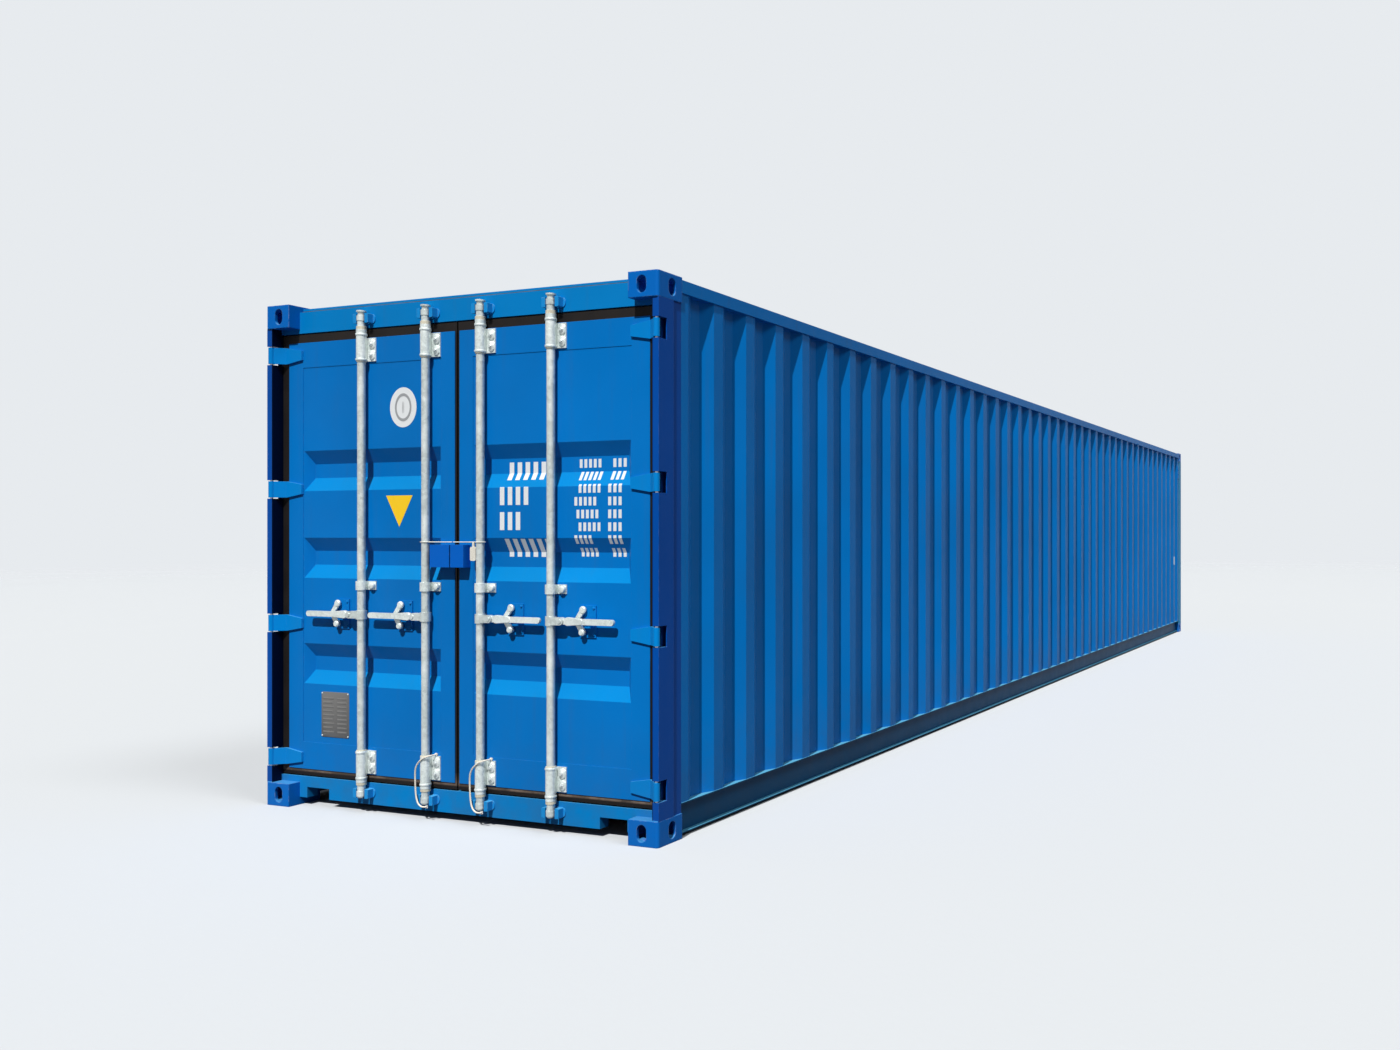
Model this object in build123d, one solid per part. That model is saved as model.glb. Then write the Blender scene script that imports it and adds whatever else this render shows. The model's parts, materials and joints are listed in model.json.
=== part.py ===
from build123d import *
import math
import os

# A 40 ft dry freight container in millimetres. X runs to the right seen from the doors,
# Y along the length with the doors at the low end, Z up from the ground.
LENGTH = 12192
WIDTH = 2438
HEIGHT = 2591
HALF = WIDTH / 2
DOOR_Y = -LENGTH / 2
BLIND_Y = LENGTH / 2

# Corner castings, with the places and sizes of their holes
CAST_X = 162
CAST_Y = 178
CAST_Z = 118
CAST_HOLE_X = 89.5
CAST_HOLE_Y = 103.5
CAST_WALL = 16
CAST_INNER = 10
CAST_LID = 28
CAST_ROUND = 14
LID_HOLE = (124.5, 63.5)
SIDE_HOLE = (79.5, 51)
CAST_TOP = HEIGHT - CAST_Z
INNER = HALF - CAST_X

# Frame members
RAIL_TOP = HEIGHT - 11
RAIL_SIZE = 60
RAIL_T = 4
WALL_TOP = RAIL_TOP - RAIL_SIZE
FLOOR_TOP = 165
FLOOR_T = 28
FLOOR_LOW = FLOOR_TOP - FLOOR_T
BEAM_LOW = 17
LOW_RAIL_T = 5
RAIL_INSET = 48
RAIL_WEB_X = HALF - RAIL_INSET
TOP_FLANGE = 46
LOW_FLANGE = 32
CHANNEL_W = 45
CHANNEL_T = 4
CROSS_PITCH = 400
CROSS_INSET = 330
CROSS_START = DOOR_Y + CROSS_INSET

# Gooseneck tunnel
TUNNEL_HALF = 514.5
TUNNEL_T = 4
TUNNEL_TOP = 120
TUNNEL_LENGTH = 3320
TUNNEL_START = BLIND_Y - TUNNEL_LENGTH
RIB_PITCH = 358
RIB_T = 8

# Posts, headers and sills
LIP_W = 36
LIP_IN = HALF - LIP_W
POST_FRONT = 6
POST_DEPTH = 109
POST_BACK = POST_FRONT + POST_DEPTH
POST_T = 6
BEAM_FRONT = 62
BEAM_BACK = 122
BEAM_T = 4
SILL_LOW = 40
SILL_TOP = 150
HEADER_H = 130
HEADER_LOW = RAIL_TOP - HEADER_H
STRIP_H = 20
HEADER_BOX_TOP = RAIL_TOP - STRIP_H
HEADER_STRIP = 40
RECESS_INSET = 207
RECESS_IN = INNER - RECESS_INSET
RECESS_W = 155
RECESS_TOP = 95
BLIND_POST_X = 80
BLIND_POST_Y = 120
BLIND_FRONT = 6
BLIND_BACK = BLIND_Y - 66
BLIND_HEADER_H = 90
BLIND_T = 4
BLIND_SILL_T = 6

# Corrugated sheets
SHEET = 2
WALL_X = HALF - 6
WALL_DEPTH = 36
WALL_SLOPE = 68
WALL_INNER = 70
WALL_PITCH = 281
ROOF_TOP = HEIGHT - 7
ROOF_DEPTH = 20
ROOF_PITCH = 209
ROOF_SLOPE = 18
ROOF_FLAT = 91
ROOF_MARGIN = 40
ROOF_PLATE_T = 4
END_PITCH = 250
END_SLOPE = 18
END_FLAT = 104
END_DEPTH = 45
END_SHEET_Y = BLIND_Y - 10
VENT_INSET = 190
VENT_Y = BLIND_Y - VENT_INSET
VENT_W = 80
VENT_H = 170
VENT_DROP = 125
VENT_TOP = WALL_TOP - VENT_DROP
VENT_T = 6
VENT_SKIN = 2
VENT_RIM = 10
SLOT_H = 10
SLOT_PITCH = 30

# Door leaves. Depths are measured back from the front plane of the castings.
LEAF_IN = 15
POST_GAP = 53
LEAF_OUT = LIP_IN - POST_GAP
SILL_GAP = 40
LEAF_Z0 = SILL_TOP + SILL_GAP
HEADER_GAP = 50
LEAF_Z1 = HEADER_LOW - HEADER_GAP
LEAF_FRONT = 60
LEAF_T = 50
LEAF_WALL = 3
HINGE_STILE = 100
HINGE_EDGE = LEAF_OUT - HINGE_STILE
LOCK_STILE = 85
LOCK_EDGE = LEAF_IN + LOCK_STILE
TOP_RAIL_H = 130
TOP_MEMBER = LEAF_Z1 - TOP_RAIL_H
LOW_RAIL_H = 140
LOW_MEMBER = LEAF_Z0 + LOW_RAIL_H
TROUGH_PLACES = (0.21, 0.492, 0.724)
TROUGH_SIDE = 6
TROUGH_HALF = 104
TROUGH_FLAT = 36
TROUGH_DEPTH = 36

# Rubber gasket, a channel around the leaf that reaches out to the frame
GASKET_FRONT = 64
GASKET_T = 40
GASKET_SKIN = 4
GASKET_GAP = 4.5
GASKET_REACH = 12
FRAME_GAP = 7
SIDE_GAP = 5

# Hinges
PIN_INSET = 19
PIN_X = HALF - PIN_INSET
PIN_DEPTH = 16
PIN_R = 7
PIN_GAP = 0.05
KNUCKLE_R = 15
BLADE_H = 84
BLADE_TIP_H = 50
BLADE_T = 10
BLADE_ROOT = 10
BLADE_BEND = 60
BLADE_BACK = 53.3
BLADE_WIDE = 65
NOTCH_DEPTH = 65
NOTCH_GAP = 6
LUG_T = 12
HINGES = 4
HINGE_END = 60
HINGE_LOW = LEAF_Z0 + HINGE_END
HINGE_STEP = (LEAF_Z1 - HINGE_END - SIDE_GAP - HINGE_LOW) / (HINGES - 1)

# Locking bars
BAR_INSET = 436
BAR_OUTER = HINGE_EDGE - BAR_INSET
BAR_EDGE = 72
BAR_INNER = LOCK_EDGE + BAR_EDGE
BAR_DEPTH = 33
BAR_R = 19
BAR_BORE_R = 15
CAM_R = 22
CAM_NECK_R = 17
CAM_DROP = 50
CAM_LOW = SILL_TOP - CAM_DROP
CAM_RISE = 44
CAM_HIGH = HEADER_LOW + CAM_RISE
CAP_R = 23
CAP_T = 8
CAP_RISE = 31
LUG_GAP = 6
LUG_REACH = CAM_R + LUG_GAP
KEEPER_LUG = 22
KEEPER_FRONT = 26
KEEPER_PLATE = 4
KEEPER_HALF = 62
KEEPER_H = 48
KEEPER_ROUND = 22
CAM_T = 26
NECK_H = 40
BITE_W = 16
BITE_DEPTH = 14
BAR_LAP = 10

# Bar brackets: a plate on the leaf and a sleeve around the bar
SLEEVE_R = 24
BORE_GAP = 0.08
PLATE_LEFT = 26
PLATE_RIGHT = 70
PLATE_T = 6
PLATE_H = 118
END_GAP = 3
LOW_PLATE = LEAF_Z0 + 7
HIGH_PLATE = LEAF_Z1 - END_GAP - PLATE_H
SLEEVE_OUT = 40
MID_Z = 1148
MID_H = 44
MID_R = 26

# Handles with their retainers and catches
HANDLE_Z = 1000
PIVOT_REACH = 66
TIP_GAP = 56
HANDLE_REACH = BAR_OUTER - BAR_INNER - TIP_GAP
HANDLE_FRONT = 20
HANDLE_T = 12
HANDLE_H = 28
HUB_R = 25
PIVOT_R = 6
CHEEK_T = 7
CHEEK_R = 18
HUB_H = 44
HUB_GAP = 1
PIVOT_HEAD = 4
CATCH_SHARE = 0.3633
CATCH_REACH = PIVOT_REACH + CATCH_SHARE * (HANDLE_REACH - PIVOT_REACH)
CATCH_FRONT = 41
CATCH_T = 8
CATCH_LEAN = 38
CATCH_RISE = 52
CATCH_W = 18
CATCH_R = 13
KNEE_R = 10
CATCH_PIN_Z = HANDLE_Z - CATCH_RISE + 2
KNOB_R = 11
KNOB_T = 6
RETAINER_LEFT = 28
RETAINER_RIGHT = 64
RETAINER_LOW = 25
RETAINER_HIGH = 75
SHELF_IN = 27
SHELF_W = 34
SHELF_T = 8
SHELF_GAP = 6

# Lock box, one half on each leaf, with the wire of a seal above it
BOX_LOW = 1245
BOX_TOP = 1355
BOX_FRONT = 14
BOX_T = 4
BOX_GAP = 3.5
BOX_LEFT = 125
BOX_RIGHT = 85
WIRE_R = 2.5
WIRE_Z = BOX_TOP + 13
WIRE_GAP = 0.4
RING_R = BAR_R + WIRE_GAP + WIRE_R
TAG_W = 34
TAG_H = 67
TAG_T = 12

# Ropes, tied round the lower ends of the two inner bars
ROPE_R = 4
ROPE_GAP = 0.4
ROPE_LIFT = 7
ROPE_SIDE = 44


def block(x0, x1, y0, y1, z0, z1):
    return Pos((x0 + x1) / 2, (y0 + y1) / 2, (z0 + z1) / 2) * Box(x1 - x0, y1 - y0, z1 - z0)


def door_block(x0, x1, d0, d1, z0, z1):
    return block(x0, x1, DOOR_Y + d0, DOOR_Y + d1, z0, z1)


def upright(x, depth, z0, z1, r):
    return Pos(x, DOOR_Y + depth, (z0 + z1) / 2) * Cylinder(r, z1 - z0)


def across(x, d0, d1, z, r):
    return Pos(x, DOOR_Y + (d0 + d1) / 2, z) * Rot(90, 0, 0) * Cylinder(r, d1 - d0)


def flip(shape):
    return mirror(shape, about=Plane.YZ)


def flip_ends(shape):
    return mirror(shape, about=Plane.XZ)


def outline(points):
    return make_face(Polyline(*points, close=True))


def save(name, *shapes):
    solids = [s for shape in shapes for s in shape.solids()]
    export_step(solids[0] if len(solids) == 1 else Compound(children=solids), f"parts/{name}.step")
    print(name, len(solids), "solids", round(sum(s.volume for s in solids) / 1e6, 3), "litres")


def save_pair(name, shape):
    save(name, shape, flip(shape))


def slot_cut(plane, size):
    return extrude(plane * SlotOverall(*size), amount=CAST_LID + 2, both=True)


def top_casting():
    x0, x1, y0, y1 = INNER, HALF, DOOR_Y, DOOR_Y + CAST_Y
    body = block(x0, x1, y0, y1, CAST_TOP, HEIGHT)
    edge = body.edges().filter_by(Axis.Z).sort_by(Axis.X)[-2:].sort_by(Axis.Y)[0]
    body = fillet(edge, CAST_ROUND)
    low = CAST_TOP + CAST_INNER
    body -= block(x0 + CAST_INNER, x1 - CAST_WALL, y0 + CAST_WALL, y1 - CAST_INNER, low, HEIGHT - CAST_LID)
    hole_x, hole_y = HALF - CAST_HOLE_X, DOOR_Y + CAST_HOLE_Y
    middle = CAST_TOP + CAST_Z / 2
    body -= slot_cut(Plane((hole_x, hole_y, HEIGHT), x_dir=(0, 1, 0), z_dir=(0, 0, 1)), LID_HOLE)
    body -= slot_cut(Plane((hole_x, DOOR_Y, middle), x_dir=(0, 0, 1), z_dir=(0, 1, 0)), SIDE_HOLE)
    return body - slot_cut(Plane((HALF, hole_y, middle), x_dir=(0, 0, 1), z_dir=(1, 0, 0)), SIDE_HOLE)


def castings():
    one = top_casting()
    ends = [one, flip_ends(one)]
    tops = ends + [flip(c) for c in ends]
    save("corner_castings_top", *tops)
    lows = [mirror(c, about=Plane.XY.offset(HEIGHT / 2)) for c in tops]
    save("corner_castings_bottom", *lows)


def hinge_heights():
    return [HINGE_LOW + i * HINGE_STEP for i in range(HINGES)]


def door_post():
    post = door_block(LIP_IN, HALF, POST_FRONT, POST_BACK, CAST_Z, CAST_TOP)
    post += door_block(RAIL_WEB_X, WALL_X, POST_BACK, CAST_Y, CAST_Z, CAST_TOP)
    hollow = POST_BACK - POST_T
    post -= door_block(LIP_IN + POST_T, HALF - POST_T, POST_FRONT + POST_T, hollow, 0, HEIGHT)
    post -= door_block(RAIL_WEB_X + RAIL_T, WALL_X - RAIL_T, POST_BACK, CAST_Y - RAIL_T, 0, HEIGHT)
    reach = BLADE_H / 2 + NOTCH_GAP
    for z in hinge_heights():
        post -= door_block(LIP_IN - 1, HALF + 1, 0, NOTCH_DEPTH, z - reach, z + reach)
        for z0 in (z - reach - LUG_T, z + reach):
            post += door_block(LIP_IN, HALF, POST_FRONT, NOTCH_DEPTH, z0, z0 + LUG_T)
        post -= upright(PIN_X, PIN_DEPTH, z - reach - LUG_T, z + reach + LUG_T, PIN_R)
    return post


def hinge_pins():
    reach = BLADE_H / 2 + NOTCH_GAP + LUG_T
    pins = [upright(PIN_X, PIN_DEPTH, z - reach, z + reach, PIN_R) for z in hinge_heights()]
    save("hinge_pins", *pins, *[flip(p) for p in pins])


def blind_post():
    x0, y0, y1 = HALF - BLIND_POST_X, BLIND_Y - BLIND_POST_Y, BLIND_Y - BLIND_FRONT
    post = block(x0, HALF, y0, y1, CAST_Z, CAST_TOP)
    post += block(RAIL_WEB_X, WALL_X, BLIND_Y - CAST_Y, y0, CAST_Z, CAST_TOP)
    post -= block(x0 + POST_T, HALF - POST_T, y0 + POST_T, y1 - POST_T, 0, HEIGHT)
    start = BLIND_Y - CAST_Y + RAIL_T
    return post - block(RAIL_WEB_X + RAIL_T, WALL_X - RAIL_T, start, y0, 0, HEIGHT)


def top_rail():
    run = LENGTH / 2 - CAST_Y
    x0 = HALF - RAIL_SIZE
    rail = block(x0, HALF, -run, run, WALL_TOP, RAIL_TOP)
    low, high = WALL_TOP + RAIL_T, RAIL_TOP - RAIL_T
    return rail - block(x0 + RAIL_T, HALF - RAIL_T, -run - 1, run + 1, low, high)


def bottom_rail():
    run = LENGTH / 2 - CAST_Y
    rail = block(RAIL_WEB_X, RAIL_WEB_X + LOW_RAIL_T, -run, run, BEAM_LOW, FLOOR_TOP)
    edge = RAIL_WEB_X + TOP_FLANGE
    rail += block(RAIL_WEB_X, edge, -run, run, FLOOR_TOP - LOW_RAIL_T, FLOOR_TOP)
    return rail + block(RAIL_WEB_X, RAIL_WEB_X + LOW_FLANGE, -run, run, BEAM_LOW, BEAM_LOW + LOW_RAIL_T)


def door_header():
    beam = door_block(-INNER, INNER, BEAM_FRONT, BEAM_BACK, HEADER_LOW, HEADER_BOX_TOP)
    beam += door_block(-LIP_IN, LIP_IN, BEAM_FRONT, POST_BACK, HEADER_LOW, CAST_TOP)
    near, far = BEAM_FRONT + BEAM_T, BEAM_BACK - BEAM_T
    beam -= door_block(-HALF, HALF, near, far, HEADER_LOW + BEAM_T, HEADER_BOX_TOP - BEAM_T)
    low = HEADER_BOX_TOP - BEAM_T
    return beam + door_block(-INNER, INNER, BEAM_BACK - HEADER_STRIP, BEAM_BACK, low, RAIL_TOP)


def door_sill():
    beam = door_block(-INNER, INNER, BEAM_FRONT, BEAM_BACK, SILL_LOW, SILL_TOP)
    beam += door_block(-LIP_IN, LIP_IN, BEAM_FRONT, POST_BACK, CAST_Z, SILL_TOP)
    near, far = BEAM_FRONT + BEAM_T, BEAM_BACK - BEAM_T
    beam -= door_block(-HALF, HALF, near, far, SILL_LOW + BEAM_T, SILL_TOP - BEAM_T)
    for side in (-1, 1):
        x0, x1 = sorted((side * RECESS_IN, side * (RECESS_IN + RECESS_W)))
        beam -= door_block(x0, x1, BEAM_FRONT - 2, BEAM_BACK + 2, 0, RECESS_TOP)
        for x in (x0 - BEAM_T, x1):
            beam += door_block(x, x + BEAM_T, BEAM_FRONT, BEAM_BACK, SILL_LOW, RECESS_TOP)
        lid = RECESS_TOP + BEAM_T
        beam += door_block(x0 - BEAM_T, x1 + BEAM_T, BEAM_FRONT, BEAM_BACK, RECESS_TOP, lid)
    return beam


def blind_header():
    low, front = RAIL_TOP - BLIND_HEADER_H, BLIND_Y - BLIND_FRONT
    beam = block(-INNER, INNER, BLIND_BACK, front, low, RAIL_TOP)
    near, far = BLIND_BACK + BLIND_T, front - BLIND_T
    return beam - block(-HALF, HALF, near, far, low + BLIND_T, RAIL_TOP - BLIND_T)


def blind_sill():
    front, edge = BLIND_Y - BLIND_FRONT, HALF - BLIND_POST_X
    beam = block(-INNER, INNER, BLIND_BACK, front, BEAM_LOW, FLOOR_TOP)
    beam += block(-edge, edge, BLIND_BACK, front, CAST_Z, FLOOR_TOP)
    low, high = BEAM_LOW + BLIND_SILL_T, FLOOR_TOP - BLIND_SILL_T
    beam -= block(-INNER, INNER, BLIND_BACK - 1, front - BLIND_SILL_T, low, high)
    return beam - block(-TUNNEL_HALF, TUNNEL_HALF, BLIND_BACK - 1, BLIND_Y, 0, TUNNEL_TOP)


def plywood_floor():
    edge, end = HALF - BLIND_POST_X, BLIND_Y - BLIND_POST_Y
    deck = block(-RAIL_WEB_X, RAIL_WEB_X, DOOR_Y + BEAM_BACK, end, FLOOR_LOW, FLOOR_TOP)
    return deck + block(-edge, edge, end, BLIND_BACK, FLOOR_LOW, FLOOR_TOP)


def channel_beam(x0, x1, y):
    beam = block(x0, x1, y, y + CHANNEL_W, BEAM_LOW, FLOOR_LOW)
    low, high = BEAM_LOW + CHANNEL_T, FLOOR_LOW - CHANNEL_T
    return beam - block(x0 - 1, x1 + 1, y + CHANNEL_T, y + CHANNEL_W + 1, low, high)


def cross_members():
    beams = []
    side, last = TUNNEL_HALF + TUNNEL_T, BLIND_Y - CAST_Y - CHANNEL_W
    for i in range(int((last - CROSS_START) // CROSS_PITCH) + 1):
        y = CROSS_START + i * CROSS_PITCH
        if y + CHANNEL_W < TUNNEL_START:
            beams.append(channel_beam(-RAIL_WEB_X, RAIL_WEB_X, y))
        else:
            beams.append(channel_beam(side, RAIL_WEB_X, y))
            beams.append(channel_beam(-RAIL_WEB_X, -side, y))
    save("cross_members", *beams)


def gooseneck_tunnel():
    side = TUNNEL_HALF + TUNNEL_T
    tunnel = block(-side, side, TUNNEL_START, BLIND_BACK, BEAM_LOW, FLOOR_LOW)
    tunnel -= block(-TUNNEL_HALF, TUNNEL_HALF, TUNNEL_START - 1, BLIND_Y, 0, TUNNEL_TOP)
    low, inside = TUNNEL_TOP + TUNNEL_T, TUNNEL_HALF - TUNNEL_T
    for i in range(int((BLIND_BACK - TUNNEL_START) // RIB_PITCH)):
        y = TUNNEL_START + RIB_T + TUNNEL_T + i * RIB_PITCH
        tunnel -= block(-inside, inside, y, y + RIB_PITCH - RIB_T, low, FLOOR_LOW + 1)
    return tunnel


def wave(start, end, pitch, slope, flat, margin=0):
    """Points along and across a row of equal folds, centred between start and end."""
    count = int((end - start - margin) // pitch)
    first = (start + end) / 2 - count * pitch / 2 + (pitch - 2 * slope - flat) / 2
    points = [(start, 0)]
    for i in range(count):
        at = first + i * pitch
        points += [(at, 0), (at + slope, 1), (at + slope + flat, 1), (at + 2 * slope + flat, 0)]
    return points + [(end, 0)]


def side_wall():
    run = wave(DOOR_Y + CAST_Y, BLIND_Y - CAST_Y, WALL_PITCH, WALL_SLOPE, WALL_INNER)
    skin = [(WALL_X - WALL_DEPTH * fold, y) for y, fold in run]
    back = [(x - SHEET, y) for x, y in reversed(skin)]
    return Pos(0, 0, FLOOR_TOP) * extrude(outline(skin + back), amount=WALL_TOP - FLOOR_TOP)


def blind_wall():
    edge = HALF - BLIND_POST_X
    run = wave(-edge, edge, END_PITCH, END_SLOPE, END_FLAT)
    skin = [(x, END_SHEET_Y - END_DEPTH * fold) for x, fold in run]
    back = [(x, y - SHEET) for x, y in reversed(skin)]
    high = RAIL_TOP - BLIND_HEADER_H
    wall = Pos(0, 0, FLOOR_TOP) * extrude(outline(skin + back), amount=high - FLOOR_TOP)
    for x in (-HALF + CAST_X / 2, HALF - CAST_X / 2):
        wall -= Pos(x, BLIND_Y - CAST_Y / 2, HEIGHT - CAST_Z / 2) * Box(CAST_X, CAST_Y, CAST_Z)
    return wall


def roof():
    run = wave(DOOR_Y + CAST_Y, BLIND_Y - CAST_Y, ROOF_PITCH, ROOF_SLOPE, ROOF_FLAT, ROOF_MARGIN)
    skin = [(y, ROOF_TOP - ROOF_DEPTH * (1 - fold)) for y, fold in run]
    back = [(y, z - SHEET) for y, z in reversed(skin)]
    return extrude(Plane.YZ * outline(skin + back), amount=HALF - RAIL_SIZE, both=True)


def roof_plates():
    top = ROOF_TOP - ROOF_DEPTH
    plates = []
    for y0, y1 in ((DOOR_Y + BEAM_BACK, DOOR_Y + CAST_Y), (BLIND_Y - CAST_Y, BLIND_BACK)):
        plates.append(block(-INNER, INNER, y0, y1, top - ROOF_PLATE_T, top))
    save("roof_end_plates", *plates)


def side_vent():
    y0, y1 = VENT_Y - VENT_W / 2, VENT_Y + VENT_W / 2
    vent = block(WALL_X, WALL_X + VENT_T, y0, y1, VENT_TOP - VENT_H, VENT_TOP)
    x0, x1, low = WALL_X + VENT_SKIN, WALL_X + VENT_T + 1, VENT_TOP - VENT_H + 2 * VENT_RIM
    for i in range(int(VENT_H // SLOT_PITCH)):
        z = low + i * SLOT_PITCH
        vent -= block(x0, x1, y0 + VENT_RIM, y1 - VENT_RIM, z, z + SLOT_H)
    return vent


def keeper(x, z):
    """A rounded plate on the beam, with an ear standing out on each side of the cam."""
    place = Plane((x, DOOR_Y + BEAM_FRONT, z), x_dir=(1, 0, 0), z_dir=(0, -1, 0))
    shape = place * RectangleRounded(2 * KEEPER_HALF, KEEPER_H, KEEPER_ROUND)
    plate_front, reach = BEAM_FRONT - KEEPER_PLATE, LUG_REACH + KEEPER_LUG
    ears = extrude(shape, amount=BEAM_FRONT - KEEPER_FRONT)
    ears &= door_block(x - reach, x + reach, KEEPER_FRONT, BEAM_FRONT, z - KEEPER_H, z + KEEPER_H)
    ears -= door_block(x - LUG_REACH, x + LUG_REACH, 0, plate_front, z - KEEPER_H, z + KEEPER_H)
    return extrude(shape, amount=KEEPER_PLATE) + ears


def bar_places():
    return (-BAR_OUTER, -BAR_INNER, BAR_INNER, BAR_OUTER)


def frame_parts():
    castings()
    save_pair("door_posts", door_post())
    save_pair("blind_posts", blind_post())
    save_pair("top_rails", top_rail())
    save_pair("bottom_rails", bottom_rail())
    save("door_header", door_header())
    save("door_sill", door_sill())
    save("blind_header", blind_header())
    save("blind_sill", blind_sill())
    cross_members()
    save("gooseneck_tunnel", gooseneck_tunnel())
    save("floor", plywood_floor())
    wall = side_wall()
    save("side_wall_right", wall)
    save("side_wall_left", flip(wall))
    save("blind_wall", blind_wall())
    save("roof", roof())
    roof_plates()
    save_pair("side_vents", side_vent())
    save("cam_keepers", *[keeper(x, z) for x in bar_places() for z in (CAM_LOW, CAM_HIGH)])
    hinge_pins()


def leaf_frame():
    back = LEAF_FRONT + LEAF_T
    frame = door_block(LEAF_IN, LEAF_OUT, LEAF_FRONT, back, LEAF_Z0, LEAF_Z1)
    frame -= door_block(LOCK_EDGE, HINGE_EDGE, LEAF_FRONT - 1, back + 1, LOW_MEMBER, TOP_MEMBER)
    near, far, t = LEAF_FRONT + LEAF_WALL, back - LEAF_WALL, LEAF_WALL
    for x0, x1 in ((LEAF_IN, LOCK_EDGE), (HINGE_EDGE, LEAF_OUT)):
        frame -= door_block(x0 + t, x1 - t, near, far, LEAF_Z0, LEAF_Z1)
    for z0, z1 in ((LEAF_Z0, LOW_MEMBER), (TOP_MEMBER, LEAF_Z1)):
        frame -= door_block(LEAF_IN + t, LEAF_OUT - t, near, far, z0 + t, z1 - t)
    return frame


def trough(z, grow, depth):
    x = (LOCK_EDGE + HINGE_EDGE) / 2
    width = HINGE_EDGE - LOCK_EDGE - 2 * TROUGH_SIDE + 2 * grow
    faces = []
    for d, inset, high in ((0, 0, TROUGH_HALF), (depth, TROUGH_DEPTH, TROUGH_FLAT)):
        place = Plane((x, DOOR_Y + BEAM_FRONT + d, z), x_dir=(1, 0, 0), z_dir=(0, -1, 0))
        faces.append(place * Rectangle(width - 2 * inset, 2 * high + 2 * grow))
    return loft(faces)


def leaf_panel():
    heights = [LOW_MEMBER + share * (TOP_MEMBER - LOW_MEMBER) for share in TROUGH_PLACES]
    sheet = door_block(LOCK_EDGE, HINGE_EDGE, BEAM_FRONT, BEAM_FRONT + SHEET, LOW_MEMBER, TOP_MEMBER)
    for z in heights:
        sheet += trough(z, SHEET * 1.2, TROUGH_DEPTH + SHEET)
    for z in heights:
        sheet -= trough(z, 0, TROUGH_DEPTH)
    return sheet


def leaf_gasket():
    back, skin = GASKET_FRONT + GASKET_T, GASKET_SKIN
    low, high, out = SILL_TOP + FRAME_GAP, HEADER_LOW - FRAME_GAP, LIP_IN - SIDE_GAP
    ring = door_block(GASKET_GAP, out, GASKET_FRONT, back, low, high)
    ring -= door_block(LEAF_IN, LEAF_OUT, LEAF_FRONT, back + 1, LEAF_Z0, LEAF_Z1)
    groove = door_block(0, LIP_IN, GASKET_FRONT + skin, back - skin, SILL_TOP, HEADER_LOW)
    x0, x1 = LEAF_IN - GASKET_REACH / 2, LEAF_OUT + GASKET_REACH
    z0, z1 = LEAF_Z0 - GASKET_REACH, LEAF_Z1 + GASKET_REACH
    return ring - (groove - door_block(x0, x1, GASKET_FRONT, back, z0, z1))


def blade(z):
    half, tip = BLADE_H / 2, BLADE_TIP_H / 2
    seat = LEAF_FRONT - BLADE_T
    root = PIN_DEPTH + BLADE_T / 2
    plan = [(PIN_X - BLADE_ROOT, root - BLADE_T), (PIN_X - BLADE_BEND, seat), (HINGE_EDGE, seat)]
    plan += [(HINGE_EDGE, LEAF_FRONT), (PIN_X - BLADE_BACK, LEAF_FRONT), (PIN_X - BLADE_ROOT, root)]
    flat = outline([(x, DOOR_Y + d) for x, d in plan])
    body = Pos(0, 0, z - half) * extrude(flat, amount=BLADE_H)
    side = [(PIN_X, -half), (PIN_X - BLADE_WIDE, -half), (HINGE_EDGE, -tip)]
    side += [(x, -h) for x, h in reversed(side)]
    shape = outline([(x, DOOR_Y, z + h) for x, h in side])
    body &= extrude(shape, amount=LEAF_FRONT + 1, both=True)
    body += upright(PIN_X, PIN_DEPTH, z - half, z + half, KNUCKLE_R)
    return body - upright(PIN_X, PIN_DEPTH, z - half - 1, z + half + 1, PIN_R + PIN_GAP)


def bracket(x, plate, sleeve, r, back):
    body = door_block(x - PLATE_LEFT, x + PLATE_RIGHT, back - PLATE_T, back, *plate)
    body += upright(x, BAR_DEPTH, *sleeve, r)
    body += door_block(x - r + 4, x + r - 4, BAR_DEPTH, back - PLATE_T, *plate)
    return body - upright(x, BAR_DEPTH, sleeve[0] - 1, sleeve[1] + 1, BAR_R + BORE_GAP)


def brackets(side):
    made = []
    low, mid, high = LOW_PLATE, MID_Z - MID_H / 2, HIGH_PLATE
    for x in (side * BAR_OUTER, side * BAR_INNER):
        plate, mid_plate = (low, low + PLATE_H), (mid, mid + MID_H)
        top_plate = (high, high + PLATE_H)
        made.append(bracket(x, plate, (low - SLEEVE_OUT, low + PLATE_H), SLEEVE_R, LEAF_FRONT))
        made.append(bracket(x, mid_plate, mid_plate, MID_R, BEAM_FRONT))
        made.append(bracket(x, top_plate, (high, high + PLATE_H + SLEEVE_OUT), SLEEVE_R, LEAF_FRONT))
    return made


def handle_side(x):
    return -1 if x < 0 else 1


def retainer(x):
    c = x + handle_side(x) * CATCH_REACH
    seat = BEAM_FRONT - PLATE_T
    low, high = CATCH_PIN_Z - RETAINER_LOW, HANDLE_Z + RETAINER_HIGH
    body = door_block(c - RETAINER_LEFT, c + RETAINER_RIGHT, seat, BEAM_FRONT, low, high)
    shelf, x0 = HANDLE_Z - HANDLE_H / 2 - SHELF_GAP, c + SHELF_IN
    body += door_block(x0, x0 + SHELF_W, HANDLE_FRONT + 2, seat + 1, shelf - SHELF_T, shelf)
    knob = CATCH_FRONT - 1
    body += across(c, knob - 1, seat + 1, CATCH_PIN_Z, PIN_R)
    return body + across(c, knob - KNOB_T, knob, CATCH_PIN_Z, KNOB_R)


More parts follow.
